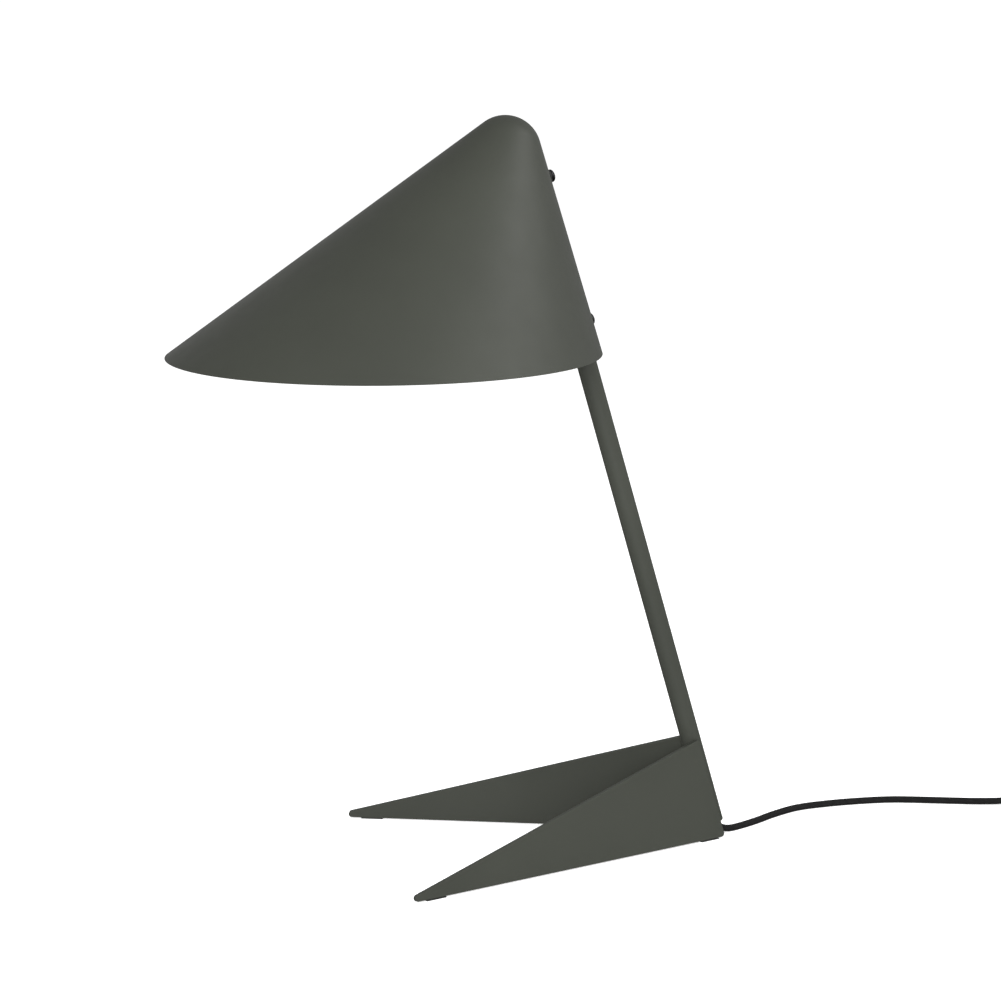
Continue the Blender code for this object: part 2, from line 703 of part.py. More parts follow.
def make_switch():
    """The housing's two shells, the rocker on its pin, the contact strip and the screws."""
    half = SWITCH_HEIGHT / 2.0
    axis = SWITCH @ moved(z=half)
    inside = (SWITCH_LENGTH - 2.0 * SWITCH_WALL, SWITCH_WIDTH - 2.0 * SWITCH_WALL)
    shell = (SWITCH_LENGTH, SWITCH_WIDTH, SWITCH_HEIGHT)
    hollow = (*inside, SWITCH_HEIGHT - 2.0 * SWITCH_WALL)
    hollow_cutter = box_cutter("switch_hollow", hollow, axis)
    notch = cord_notch("switch_notch", axis, SWITCH_LENGTH)
    big = (SWITCH_LENGTH * 2.0, SWITCH_WIDTH * 2.0, SWITCH_HEIGHT)
    lower = block("switch_lower_housing", shell, axis, "black_plastic", 0.0040, 3)
    upper = block("switch_upper_housing", shell, axis, "black_plastic", 0.0040, 3)
    above = box_cutter("above_parting", big, axis @ moved(z=half + GAP / -2.0))
    below = box_cutter("below_parting", big, axis @ moved(z=-half + GAP / 2.0))
    window_size = (ROCKER_LENGTH + 0.0012, ROCKER_WIDTH + 0.0008, SWITCH_HEIGHT)
    window = box_cutter("rocker_window", window_size, axis @ moved(z=half))
    for housing, parting in ((lower, above), (upper, below)):
        cut(housing, parting)
        cut(housing, hollow_cutter)
        cut(housing, notch)
    cut(upper, window)

    pivot = SWITCH @ moved(z=ROCKER_PIVOT_HEIGHT)
    pin_bore = 0.0010 + GAP
    rocker_place = pivot @ turned_about("Y", ROCKER_TILT)
    rise = 0.0062
    outline = [
        (-ROCKER_LENGTH / 2.0, 0.0008),
        (-0.0030, -0.0034),
        (0.0030, -0.0034),
        (ROCKER_LENGTH / 2.0, 0.0008),
        (ROCKER_LENGTH / 2.0 - 0.0004, rise - 0.0010),
        (0.0, rise - 0.0026),
        (-ROCKER_LENGTH / 2.0 + 0.0004, rise - 0.0010),
    ]
    upright = rocker_place @ turned_about("X", math.radians(90.0))
    rocker_mesh = flat_plate("rocker_outline", outline, ROCKER_WIDTH, upright, "black_plastic")
    rocker = curve_to_mesh(rocker_mesh, "switch_rocker", rocker_place)
    across = pivot @ turned_about("X", math.radians(90.0))
    cut(rocker, rod_cutter("rocker_bore", pin_bore, -0.02, 0.02, across, 16))
    half_pin = SWITCH_WIDTH / 2.0 - SWITCH_WALL - GAP
    prism("rocker_pin", 0.0010, -half_pin, half_pin, across, "zinc", 12)

    strip = (0.0240, 0.0040, 0.0006)
    block("switch_contact_strip", strip, SWITCH @ moved(z=SWITCH_WALL + 0.0030), "brass")
    for name, along in (("front", -1.0), ("rear", 1.0)):
        place = SWITCH @ moved(x=along * 0.0185)
        profile = [
            (0.0, 0.0115),
            (0.0012, 0.0115),
            (0.0012, 0.0022),
            (0.0022, 0.0022),
            (0.0022, 0.0010),
            (0.0, 0.0010),
        ]
        side = place @ moved(y=along * 0.0078)
        turned(name + "_switch_screw", profile, side, "black_steel", 12)
        cut(lower, rod_cutter(name + "_screw_hole", 0.0025, -0.002, 0.0025, side, 16))
        end = axis @ moved(x=along * (SWITCH_LENGTH / 2.0 + GAP))
        outward = end @ turned_about("Y", math.radians(90.0) * along)
        make_relief(name + "_switch_relief", outward)


def curve_to_mesh(curve_piece, name, frame):
    """Makes a curve piece a mesh piece, with its origin at the frame's."""
    graph = bpy.context.evaluated_depsgraph_get()
    mesh = bpy.data.meshes.new_from_object(curve_piece.evaluated_get(graph))
    mesh.name = name
    shape = bmesh.new()
    shape.from_mesh(mesh)
    bmesh.ops.remove_doubles(shape, verts=shape.verts, dist=0.00001)
    shape.transform(frame.inverted() @ curve_piece.matrix_world)
    shape.to_mesh(mesh)
    shape.free()
    mesh.materials.clear()
    curve = curve_piece.data
    bpy.data.objects.remove(curve_piece, do_unlink=True)
    bpy.data.curves.remove(curve)
    return add_object(name, mesh, frame, "black_plastic")


def make_relief(name, place):
    """A tapered strain relief that stands out along Z."""
    bore = CORD_RADIUS + GAP
    section = [
        (0.0040, RELIEF_LENGTH),
        (0.0058, 0.0),
        (bore, 0.0),
        (bore, RELIEF_LENGTH),
    ]
    ring(name, section, place, "black_rubber", 20)


# ---------------------------------------------------------------- plug
def make_plug():
    """A flat two-pin plug, lying on the floor."""
    axis = PLUG @ moved(z=PLUG_HEIGHT / 2.0)
    size = (PLUG_LENGTH, PLUG_WIDTH, PLUG_HEIGHT)
    body = block("plug_body", size, axis, "black_plastic", 0.0045, 3)
    entry = axis @ moved(x=-PLUG_LENGTH / 2.0) @ turned_about("Y", math.radians(90.0))
    cut(body, rod_cutter("plug_cord_hole", CORD_RADIUS + GAP, -0.01, 0.0045, entry, 20))
    for name, side in (("left", 1.0), ("right", -1.0)):
        along = axis @ moved(x=PLUG_LENGTH / 2.0, y=side * PIN_SPACING / 2.0)
        place = along @ turned_about("Y", math.radians(90.0))
        prism(name + "_plug_pin", PIN_RADIUS, -0.008, PIN_LENGTH, place, "zinc", 16)
        hole = rod_cutter(name + "_pin_hole", PIN_RADIUS + GAP, -0.0085, 0.01, place, 16)
        cut(body, hole)
    back = axis @ moved(x=-PLUG_LENGTH / 2.0 - GAP)
    make_relief("plug_relief", back @ turned_about("Y", math.radians(-90.0)))


# ---------------------------------------------------------------- the whole lamp
bpy.context.view_layer.update()
make_hood()
make_stem()
make_stem_end_cap()
make_cord_bush()
make_hood_screws()
make_leg("left", -1.0)
make_leg("right", 1.0)
make_holder_mount()
make_holder()
make_bulb()
make_inner_lead()
make_free_cord()
make_tie()
make_switch()
make_plug()
bpy.context.view_layer.update()
for part in PARTS.objects:
    if part.type == "MESH":
        smooth(part)
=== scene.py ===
# %% [markdown]
# # A desk lamp, from its imported frame to its finished surfaces
# The frame holds every part of the lamp at its real size, as plain solids that ride on the
# bodies that move. This file is about the looks: each visible part is modelled again with the
# edges, grooves and finish that a maker would give it, and it stands where its solid stands.
# The frame is loaded first.

# %% Load the frame
import json
import math

import bmesh
import bpy
from mathutils import Matrix, Vector


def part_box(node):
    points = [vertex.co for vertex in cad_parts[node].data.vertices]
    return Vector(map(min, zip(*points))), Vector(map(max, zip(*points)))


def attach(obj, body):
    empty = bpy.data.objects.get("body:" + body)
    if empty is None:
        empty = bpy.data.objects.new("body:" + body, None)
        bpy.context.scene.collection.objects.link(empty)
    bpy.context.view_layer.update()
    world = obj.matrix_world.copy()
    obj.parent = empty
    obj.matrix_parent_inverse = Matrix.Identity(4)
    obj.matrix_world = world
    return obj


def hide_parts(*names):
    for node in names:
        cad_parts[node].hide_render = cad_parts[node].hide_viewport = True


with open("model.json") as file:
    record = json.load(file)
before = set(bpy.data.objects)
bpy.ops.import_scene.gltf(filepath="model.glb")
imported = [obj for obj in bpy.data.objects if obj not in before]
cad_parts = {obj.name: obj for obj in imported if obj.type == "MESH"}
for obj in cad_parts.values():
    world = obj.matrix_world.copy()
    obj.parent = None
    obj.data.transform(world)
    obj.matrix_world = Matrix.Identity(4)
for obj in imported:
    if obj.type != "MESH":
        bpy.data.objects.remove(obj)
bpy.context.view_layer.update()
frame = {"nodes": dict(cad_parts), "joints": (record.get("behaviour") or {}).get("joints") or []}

print("parts in the frame:", len(frame["nodes"]))

# %% [markdown]
# ## Frames of reference
# The stem leans back, so sizes along it are awkward to give in upright coordinates. It helps
# to work in small frames of our own instead: a 4x4 matrix says where such a frame stands, and
# a shape modelled about its origin is moved there in one step. The two joints in the record
# give the directions. The bulb turns about the lamp holder, which stands square to the stem,
# and the rocker tilts about an axis that lies across the switch.

# %% Frames from the joints
JOINTS = {joint["name"]: joint for joint in frame["joints"]}


def moved(x=0.0, y=0.0, z=0.0):
    """A shift."""
    return Matrix.Translation((x, y, z))


def turned_about(axis, degrees):
    """A turn about one axis."""
    return Matrix.Rotation(math.radians(degrees), 4, axis)


def frame_at(origin, x_way, y_way):
    """A frame from its origin and two of its directions."""
    x_way = Vector(x_way).normalized()
    y_way = Vector(y_way).normalized()
    turn = Matrix((x_way, y_way, x_way.cross(y_way))).transposed()
    return Matrix.Translation(origin) @ turn.to_4x4()


def middle_of(node):
    """The middle of a CAD node's box."""
    low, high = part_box(node)
    return (low + high) / 2.0


holder_way = Vector(JOINTS["bulb_turn"]["axis"])
STEM = frame_at(middle_of("stem"), -holder_way, (0.0, 1.0, 0.0))
up_stem = STEM.col[2].xyz
STEM = Matrix.Translation(-up_stem * STEM.translation.z / up_stem.z) @ STEM
holder_height = (STEM.inverted() @ Vector(JOINTS["bulb_turn"]["pos_m"])).z
HOLDER = STEM @ moved(z=holder_height) @ turned_about("Y", -90.0)

rocker_pivot = Vector(JOINTS["rocker_tilt"]["pos_m"])
across_switch = Vector(JOINTS["rocker_tilt"]["axis"])
along_switch = across_switch.cross(Vector((0.0, 0.0, 1.0)))
SWITCH = frame_at((rocker_pivot.x, rocker_pivot.y, 0.0), along_switch, across_switch)
COIL = frame_at(middle_of("cord_coil"), along_switch, across_switch)
COIL.translation.z = 0.0
PLUG = frame_at(middle_of("plug_body"), -along_switch, -across_switch)
STEM_LEAN = math.degrees(math.atan2(-up_stem.x, up_stem.z))
print("the stem leans", round(STEM_LEAN, 2), "degrees; the holder stands", round(holder_height, 4), "m up it")

# %% [markdown]
# ## Reading sizes from the frame
# A turned part is easiest to size in its own frame: its lowest and highest corner there are
# its two ends and its radius. The helper below looks at a node's vertices from such a frame.

# %% A node's span in a frame of its own
def span(node, place):
    """The lowest and highest corners of a CAD node, seen from a frame."""
    inward = place.inverted()
    corners = [inward @ vertex.co for vertex in frame["nodes"][node].data.vertices]
    low = Vector([min(corner[axis] for corner in corners) for axis in range(3)])
    high = Vector([max(corner[axis] for corner in corners) for axis in range(3)])
    return low, high


stem_low, stem_high = span("stem", STEM)
STEM_RADIUS = stem_high.y
print("stem radius", round(STEM_RADIUS, 4), "length", round(stem_high.z - stem_low.z, 4))

# %% [markdown]
# ## The camera
# It stands a little higher than the lamp and well away from it, with a long lens, so that
# upright lines stay nearly upright and the cone keeps its shape. The camera is made before anything
# else, because the cord has to be put away just outside what it sees.

# %% Camera
CAMERA_PLACE = (-0.6231, -2.5811, 0.7940)
CAMERA_YAW = 14.361
CAMERA_PITCH = 10.841
CAMERA_LENS = 124.72

camera_data = bpy.data.cameras.new("camera")
camera_data.lens = CAMERA_LENS
camera_data.sensor_width = 36.0
camera_data.clip_end = 100.0
camera = bpy.data.objects.new("camera", camera_data)
camera.location = CAMERA_PLACE
camera.rotation_euler = (math.radians(90.0 - CAMERA_PITCH), 0.0, math.radians(-CAMERA_YAW))
bpy.context.scene.collection.objects.link(camera)
bpy.context.scene.camera = camera
print("camera", CAMERA_PLACE, "lens", CAMERA_LENS)

# %% [markdown]
# ## The cord
# The lamp has a round textile lead of about 1.9 m. It comes out of the stem's lower end, bends
# over the bush there, and lies in one loose wave on the table as far as an in-line switch. The
# rest is wound into a neat coil with the plug beside it.
#
# A cord could be a mesh, a simulated rope or a curve with a round section. A curve is the
# simplest that can be measured, and it lets the route be read as a list of places. The list is
# passed through a smooth curve first, because straight runs joined by arcs look like bent wire.

# %% A smooth route through listed points
CORD_DIAMETER = 0.0056
CORD_RADIUS = CORD_DIAMETER / 2.0
CORD_STEP = 0.0040  # between the points of the finished centreline
STEPS_PER_KNOT = 24  # of the smooth curve, before its points are spaced evenly

LAMP_CORD_ROUTE = [
    (0.2096, 0.0, 0.0324),
    (0.2114, 0.0, 0.0262),
    (0.2135, 0.0, 0.0190),
    (0.2167, 0.0004, 0.0111),
    (0.2222, 0.0020, 0.0054),
    (0.2300, 0.0044, 0.0030),
    (0.2420, 0.0098, 0.0028),
    (0.2590, 0.0203, 0.0028),
    (0.2800, 0.0355, 0.0028),
    (0.3050, 0.0490, 0.0028),
    (0.3330, 0.0540, 0.0028),
    (0.3620, 0.0550, 0.0028),
    (0.3890, 0.0525, 0.0028),
    (0.4130, 0.0450, 0.0028),
    (0.4350, 0.0370, 0.0028),
    (0.4560, 0.0296, 0.0029),
    (0.4760, 0.0220, 0.0040),
    (0.4900, 0.0161, 0.0066),
    (0.4999, 0.0119, 0.0083),
]


def smooth_route(points, spacing):
    """Evenly spaced points on a smooth curve through the route's own points."""
    knots = [Vector(point) for point in points]
    padded = [knots[0] * 2.0 - knots[1], *knots, knots[-1] * 2.0 - knots[-2]]
    fine = []
    for index in range(1, len(padded) - 2):
        before, start, end, after = padded[index - 1 : index + 3]
        reach = (end - start).length
        leave = (end - before) * reach / ((start - before).length + reach)
        arrive = (after - start) * reach / ((after - end).length + reach)
        for step in range(STEPS_PER_KNOT):
            t = step / STEPS_PER_KNOT
            fine.append(
                start * (2.0 * t**3 - 3.0 * t**2 + 1.0)
                + leave * (t**3 - 2.0 * t**2 + t)
                + end * (3.0 * t**2 - 2.0 * t**3)
                + arrive * (t**3 - t**2)
            )
    fine.append(knots[-1])
    total = sum((second - first).length for first, second in zip(fine, fine[1:]))
    count = max(2, round(total / spacing))
    even = [fine[0]]
    travelled = 0.0
    for first, second in zip(fine, fine[1:]):
        length = (second - first).length
        while travelled + length >= total * len(even) / count and len(even) < count:
            share = (total * len(even) / count - travelled) / length
            even.append(first.lerp(second, share))
        travelled += length
    even.append(fine[-1])
    return even


def length_of(points):
    """The length of a line of points."""
    return sum((second - first).length for first, second in zip(points, points[1:]))


lamp_route = smooth_route(LAMP_CORD_ROUTE, CORD_STEP)
print("from the stem to the switch:", round(length_of(lamp_route), 3), "m")

# %% [markdown]
# ## The coil
# A lead that is wound by hand into a ring has both its ends on the outside. An even number of
# flat layers gives that: the cord spirals inwards on the floor, climbs on top of itself at the
# inner side, spirals outwards, and so on. Turns side by side keep one pitch apart all the way
# round, and each climb takes 0.3 of a turn, so no bend is tight and no turn cuts another.

# %% Turns of the coil
COIL_LAYERS = 4
COIL_TURNS = 7.5
LAYER_TURNS = COIL_TURNS / COIL_LAYERS
CLIMB_TURNS = 0.30
SIDE_PITCH = 0.0060
LAYER_PITCH = 0.0057
COIL_MEAN_RADIUS = 0.0300
TIE_LIFT = 0.0014  # the strap lies under the turns at one place
POINTS_PER_TURN = 16


def soft_step(share):
    """0 to 1 with a gentle start and stop."""
    share = min(max(share, 0.0), 1.0)
    return share * share * (3.0 - 2.0 * share)


def coil_point(turns):
    """The place of the cord's middle after so many turns, in the coil's frame."""
    inner = COIL_MEAN_RADIUS - (LAYER_TURNS - CLIMB_TURNS) * SIDE_PITCH / 2.0
    layer = min(int(turns / LAYER_TURNS), COIL_LAYERS - 1)
    into_layer = turns - layer * LAYER_TURNS
    if layer % 2 == 0:
        from_inner = LAYER_TURNS - CLIMB_TURNS / 2.0 - into_layer
    else:
        from_inner = into_layer - CLIMB_TURNS / 2.0
    if 0 < layer < COIL_LAYERS - 1:
        from_inner = min(from_inner, LAYER_TURNS - CLIMB_TURNS)
    radius = inner + max(from_inner, 0.0) * SIDE_PITCH
    climbed = sum(
        soft_step((turns - climb * LAYER_TURNS) / CLIMB_TURNS + 0.5)
        for climb in range(1, COIL_LAYERS)
    )
    angle = math.pi / 2.0 - turns * 2.0 * math.pi
    from_tie = math.remainder(angle + math.pi / 2.0, 2.0 * math.pi)
    lift = TIE_LIFT * math.exp(-((from_tie / 0.5) ** 2))
    height = CORD_RADIUS + climbed * LAYER_PITCH + lift
    return Vector((radius * math.cos(angle), radius * math.sin(angle), height))


turn_points = [
    coil_point(step / POINTS_PER_TURN) for step in range(round(COIL_TURNS * POINTS_PER_TURN) + 1)
]
print("turns:", COIL_TURNS, "length in the coil:", round(length_of(turn_points), 3), "m")

# %% [markdown]
# ## The second run of cord
# It leaves the switch, drops to the floor, winds round the coil and comes off its top layer
# down to the plug. The straight ends lie in the same direction as the switch.

# %% The run from the switch through the coil to the plug
ROUTE_START = -0.073  # the route below counts its X from here, behind the switch's middle
ENTRY_HEIGHT = 0.0085  # the cord enters the switch at half the height of its case
TAIL = SWITCH @ moved(x=ROUTE_START)
COIL_CORD_ROUTE = [
    (0.0960, 0.0, ENTRY_HEIGHT),
    (0.1080, 0.0, ENTRY_HEIGHT),
    (0.1200, 0.0, ENTRY_HEIGHT),
    (0.1320, 0.0, 0.0073),
    (0.1462, 0.0, 0.0044),
]
PLUG_SIDE = -0.0712
PLUG_CORD_ROUTE = [
    (0.1560, PLUG_SIDE, 0.0190),
    (0.1462, PLUG_SIDE, 0.0146),
    (0.1335, PLUG_SIDE, 0.0094),
    (0.1200, PLUG_SIDE, 0.0069),
    (0.1080, PLUG_SIDE, 0.0069),
    (0.0960, PLUG_SIDE, 0.0069),
]
tail_knots = [
    *[TAIL @ Vector(point) for point in COIL_CORD_ROUTE],
    *[COIL @ point for point in turn_points],
    *[TAIL @ Vector(point) for point in PLUG_CORD_ROUTE],
]
plug_route = smooth_route(tail_knots, CORD_STEP)
print("from the switch to the plug:", round(length_of(plug_route), 3), "m")

# %% [markdown]
# ## The cord's round section
# The curve's bevel gives the round section, scaled by the radius of each point, with closed
# ends and its own UV map: one way runs round the cord and the other along it. The braid is
# painted in that map later.

# %% Cord curves
def cord_curve(name, points, nodes):
    """A round cord on a line of points, in place of its plain solids."""
    curve = bpy.data.curves.new(name, "CURVE")
    curve.dimensions = "3D"
    curve.bevel_depth = 1.0
    curve.bevel_resolution = 6
    curve.use_fill_caps = True
    spline = curve.splines.new("POLY")
    spline.points.add(len(points) - 1)
    for knot, point in zip(spline.points, points):
        knot.co = (*point, 1.0)
        knot.radius = CORD_RADIUS
    spline.use_smooth = True
    piece = bpy.data.objects.new(name, curve)
    bpy.context.scene.collection.objects.link(piece)
    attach(piece, "lamp")
    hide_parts(*nodes)
    return piece


lamp_lead = cord_curve("lamp_lead", lamp_route, ["lamp_cord"])
plug_lead = cord_curve("plug_lead", plug_route, ["coil_cord", "cord_coil", "plug_cord"])
print("points on the two runs:", len(lamp_route), len(plug_route))

# %% [markdown]
# ## Material helpers
# A finish starts from one Principled shader. Values that are the same all over the surface are
# set on the shader itself; only what varies, such as a mottled tone or a fine relief, comes
# from nodes. The patterns sit in Object coordinates, so they stay on a piece when it moves.

# %% Node helpers
def new_finish(name, colour, roughness, metallic=0.0):
    """A material whose main shader has its plain values set."""
    material = bpy.data.materials.new(name)
    material.use_nodes = True
    shader = material.node_tree.nodes["Principled BSDF"]
    shader.inputs["Base Color"].default_value = (*colour, 1.0)
    shader.inputs["Roughness"].default_value = roughness
    shader.inputs["Metallic"].default_value = metallic
    return material


def add_node(material, kind, inputs, **settings):
    """Adds a node, sets it and links it."""
    node = material.node_tree.nodes.new(kind)
    for name, value in settings.items():
        setattr(node, name, value)
    for name, value in inputs.items():
        if isinstance(value, bpy.types.NodeSocket):
            material.node_tree.links.new(value, node.inputs[name])
        else:
            node.inputs[name].default_value = value
    return node


def feed(material, socket, output):
    """Links an output to one of the shader's sockets."""
    shader = material.node_tree.nodes["Principled BSDF"]
    material.node_tree.links.new(output, shader.inputs[socket])


def mottle(material, scale, detail=2.0):
    """A noise that is fixed to the piece, with this many spots to the metre."""
    place = add_node(material, "ShaderNodeTexCoord", {})
    inputs = {"Vector": place.outputs["Object"], "Scale": scale, "Detail": detail}
    return add_node(material, "ShaderNodeTexNoise", inputs).outputs[0]


def blend_tones(material, factor, first, second, low=0.35, high=0.65):
    """The base colour runs between two tones as the pattern does."""
    ramp = add_node(material, "ShaderNodeValToRGB", {"Fac": factor})
    ramp.color_ramp.elements[0].position = low
    ramp.color_ramp.elements[1].position = high
    ramp.color_ramp.elements[0].color = (*first, 1.0)
    ramp.color_ramp.elements[1].color = (*second, 1.0)
    feed(material, "Base Color", ramp.outputs["Color"])


def vary_roughness(material, factor, smoothest, roughest):
    """The roughness runs between two values as the pattern does."""
    inputs = {"Value": factor, "From Min": 0.3, "From Max": 0.7}
    inputs.update({"To Min": smoothest, "To Max": roughest})
    feed(material, "Roughness", add_node(material, "ShaderNodeMapRange", inputs).outputs[0])


def raise_relief(material, height, depth, strength=1.0):
    """A relief of this depth in metres, from the pattern's height."""
    inputs = {"Height": height, "Distance": depth, "Strength": strength}
    feed(material, "Normal", add_node(material, "ShaderNodeBump", inputs).outputs["Normal"])


print("material helpers ready")

# %% [markdown]
# ## Powder coat
# The steel is powder coated in a dark grey green. The coat is satin: it shows one broad soft
# highlight and no sharp reflections. Seen close, baked powder has a very fine orange peel and
# its tone drifts a little over a large sheet. Three noises do that: one with spots a hand wide
# for the tone, a finer one for the gloss, and one with spots under a millimetre for the peel.

# %% Powder-coated steel
COAT_TONE = (0.0282, 0.0305, 0.0240)
COAT_ROUGHNESS = 0.60
COAT_SHINE = 0.27


def powder_coat():
    """The dark grey-green satin coat, with its tone, gloss and peel."""
    material = new_finish("powder_coat", COAT_TONE, COAT_ROUGHNESS)
    shader = material.node_tree.nodes["Principled BSDF"]
    shader.inputs["Specular IOR Level"].default_value = COAT_SHINE
    light_tone = [channel * 1.06 for channel in COAT_TONE]
    dark_tone = [channel * 0.94 for channel in COAT_TONE]
    blend_tones(material, mottle(material, 9.0), dark_tone, light_tone)
    fine = mottle(material, 1300.0, 1.0)
    vary_roughness(material, mottle(material, 60.0), COAT_ROUGHNESS - 0.02, COAT_ROUGHNESS + 0.02)
    raise_relief(material, fine, 0.00003, 0.35)
    return material


POWDER_COAT = powder_coat()
print("powder coat:", COAT_TONE)

# %% [markdown]
# ## Metals
# The hood's screws are black oxide, the nuts and the plug's pins are plated, and the contacts
# are brass. Plate and brass show faint drawing lines and a little spread in their gloss.

# %% Metals
def metal(name, tone, roughness, spots, relief=0.00001):
    """A metal with a slightly uneven gloss."""
    material = new_finish(name, tone, roughness, 1.0)
    pattern = mottle(material, spots, 3.0)
    blend_tones(material, pattern, [channel * 0.90 for channel in tone], tone)
    vary_roughness(material, pattern, roughness - 0.05, roughness + 0.08)
    raise_relief(material, pattern, relief, 0.3)
    return material


BLACK_OXIDE = metal("black_oxide", (0.030, 0.030, 0.031), 0.38, 900.0)
PLATED_STEEL = metal("plated_steel", (0.62, 0.61, 0.59), 0.27, 700.0)
NICKEL = metal("nickel", (0.58, 0.55, 0.50), 0.20, 500.0)
BRASS = metal("brass_contact", (0.70, 0.50, 0.22), 0.30, 800.0)
print("metals ready")

# %% [markdown]
# ## Plastics, rubber, ceramic and glass
# Moulded plastic has the fine spark texture of its mould, rubber is duller and slightly dusty,
# the holder's core is a glazed ceramic, and the bulb's globe is opal: white all through, with
# a polished skin.

# %% Moulded and glazed finishes
def moulded(name, tone, roughness, grain=1500.0, depth=0.00002):
    """A moulded finish with a fine grain."""
    material = new_finish(name, tone, roughness)
    pattern = mottle(material, grain, 1.0)
    blend_tones(material, mottle(material, 40.0), [channel * 0.93 for channel in tone], tone)
    vary_roughness(material, pattern, roughness - 0.05, roughness + 0.05)
    raise_relief(material, pattern, depth, 0.5)
    return material


def opal_glass():
    """White glass with a polished skin and a little light inside it."""
    material = moulded("opal", (0.86, 0.86, 0.83), 0.16, 120.0, 0.00001)
    shader = material.node_tree.nodes["Principled BSDF"]
    shader.inputs["Subsurface Weight"].default_value = 0.35
    shader.inputs["Subsurface Radius"].default_value = (0.004, 0.004, 0.004)
    shader.inputs["Subsurface Scale"].default_value = 1.0
    shader.inputs["Coat Weight"].default_value = 0.6
    return material


BLACK_PLASTIC = moulded("black_moulding", (0.020, 0.020, 0.021), 0.42)
WHITE_PLASTIC = moulded("white_moulding", (0.78, 0.78, 0.75), 0.38)
BLACK_RUBBER = moulded("rubber", (0.021, 0.021, 0.020), 0.70, 900.0, 0.00003)
CERAMIC = moulded("glazed_ceramic", (0.76, 0.74, 0.68), 0.24, 300.0)
OPAL = opal_glass()
BROWN_CORE = moulded("brown_insulation", (0.110, 0.045, 0.020), 0.45)
BLUE_CORE = moulded("blue_insulation", (0.030, 0.090, 0.300), 0.45)
print("moulded finishes ready")

# %% [markdown]
# ## The braid
# A textile cord is a tube of strands that cross over and under each other. In the cord's own
# UV map the strands are two sets of slanted lines. Where the sum and the difference of the two
# coordinates share their parity, one set lies on top, and elsewhere the other does.

# %% Braided textile
STRANDS_AROUND = 14.0
STRAND_PITCH = 0.00125


def braid(name, length, tone):
    """Braided textile for a cord of this length."""
    material = new_finish(name, tone, 0.78)
    place = add_node(material, "ShaderNodeTexCoord", {})
    ways = add_node(material, "ShaderNodeSeparateXYZ", {"Vector": place.outputs["UV"]})

    def work(operation, first, second=0.0):
        node = add_node(material, "ShaderNodeMath", {0: first, 1: second}, operation=operation)
        return node.outputs[0]

    around = work("MULTIPLY", ways.outputs["X"], STRANDS_AROUND)
    along = work("MULTIPLY", ways.outputs["Y"], length / STRAND_PITCH)
    first_way = work("ADD", around, along)
    second_way = work("SUBTRACT", around, along)
    first_strand = work("PINGPONG", first_way, 0.5)
    second_strand = work("PINGPONG", second_way, 0.5)
    cells = work("ADD", work("FLOOR", first_way), work("FLOOR", second_way))
    on_top = work("PINGPONG", cells, 1.0)
    first_part = work("MULTIPLY", first_strand, on_top)
    second_part = work("MULTIPLY", second_strand, work("SUBTRACT", 1.0, on_top))
    height = work("MULTIPLY", work("ADD", first_part, second_part), 2.0)
    # The tone darkens to about half where the strands dip: this is painted shade in the gaps between strands,
    # and the relief below gives the real dips.
    blend_tones(material, height, [channel * 0.55 for channel in tone], tone, 0.05, 0.75)
    raise_relief(material, height, 0.00030, 0.8)
    shader = material.node_tree.nodes["Principled BSDF"]
    shader.inputs["Specular IOR Level"].default_value = 0.15
    return material


CORD_TONE = (0.011, 0.011, 0.011)
lamp_lead.data.materials.append(braid("lamp_lead_braid", length_of(lamp_route), CORD_TONE))
plug_lead.data.materials.append(braid("plug_lead_braid", length_of(plug_route), CORD_TONE))


def woven_strap():
    """The fuzzy loops of a fabric strap."""
    material = new_finish("strap_weave", (0.022, 0.022, 0.022), 0.90)
    loops = mottle(material, 2600.0, 2.0)
    blend_tones(material, loops, (0.010, 0.010, 0.010), (0.036, 0.036, 0.036))
    raise_relief(material, loops, 0.0002, 0.8)
    return material


STRAP = woven_strap()
INNER_TEXTILE = moulded("inner_lead_textile", CORD_TONE, 0.80, 2000.0, 0.0001)
print("braid and strap ready")

# %% [markdown]
# ## Floor and light
# The lamp stands on a lit white table in pale, even surroundings, as in a product studio. One
# soft box, high and to the right, draws the highlight down the hood, and a larger one at the
# front fills the shades. The floor glows a little, like a table lit from below, so shadows
# stay faint. White surroundings shine back from the edges of dark paint and make them pale,
# so a studio keeps them out of the reflections: here the floor isn't seen in them, and what
# lies below the horizon is dark.

# %% Floor, surroundings and soft boxes
# Each step is a height, from -1 straight down to 1 straight up, and the grey that is seen there.
SURROUNDING_STEPS = [(-0.06, 0.10), (-0.01, 1.0), (0.13, 1.0), (0.28, 0.53)]
FLOOR_GLOW = 0.55
FLOOR_HALF = 40.0
HOOD_MIDDLE = middle_of("hood")
KEY_WAY = Vector((0.72, -0.29, 0.63)).normalized()
KEY_DISTANCE = 2.4
KEY_SIDE = 0.9
KEY_POWER = 41.0
FILL_WAY = Vector((-0.35, -0.93, 0.22)).normalized()
FILL_DISTANCE = 2.6
FILL_SIDE = 1.6
FILL_POWER = 87.0


def make_floor():
    """A very large pale surface."""
    shape = bmesh.new()
    bmesh.ops.create_grid(shape, x_segments=1, y_segments=1, size=FLOOR_HALF)
    mesh = bpy.data.meshes.new("floor")
    shape.to_mesh(mesh)
    shape.free()
    surface = new_finish("pale_floor", (0.90, 0.90, 0.90), 0.90)
    shader = surface.node_tree.nodes["Principled BSDF"]
    shader.inputs["Emission Color"].default_value = (1.0, 1.0, 1.0, 1.0)
    shader.inputs["Emission Strength"].default_value = FLOOR_GLOW
    mesh.materials.append(surface)
    floor = bpy.data.objects.new("floor", mesh)
    bpy.context.scene.collection.objects.link(floor)
    floor.visible_glossy = False


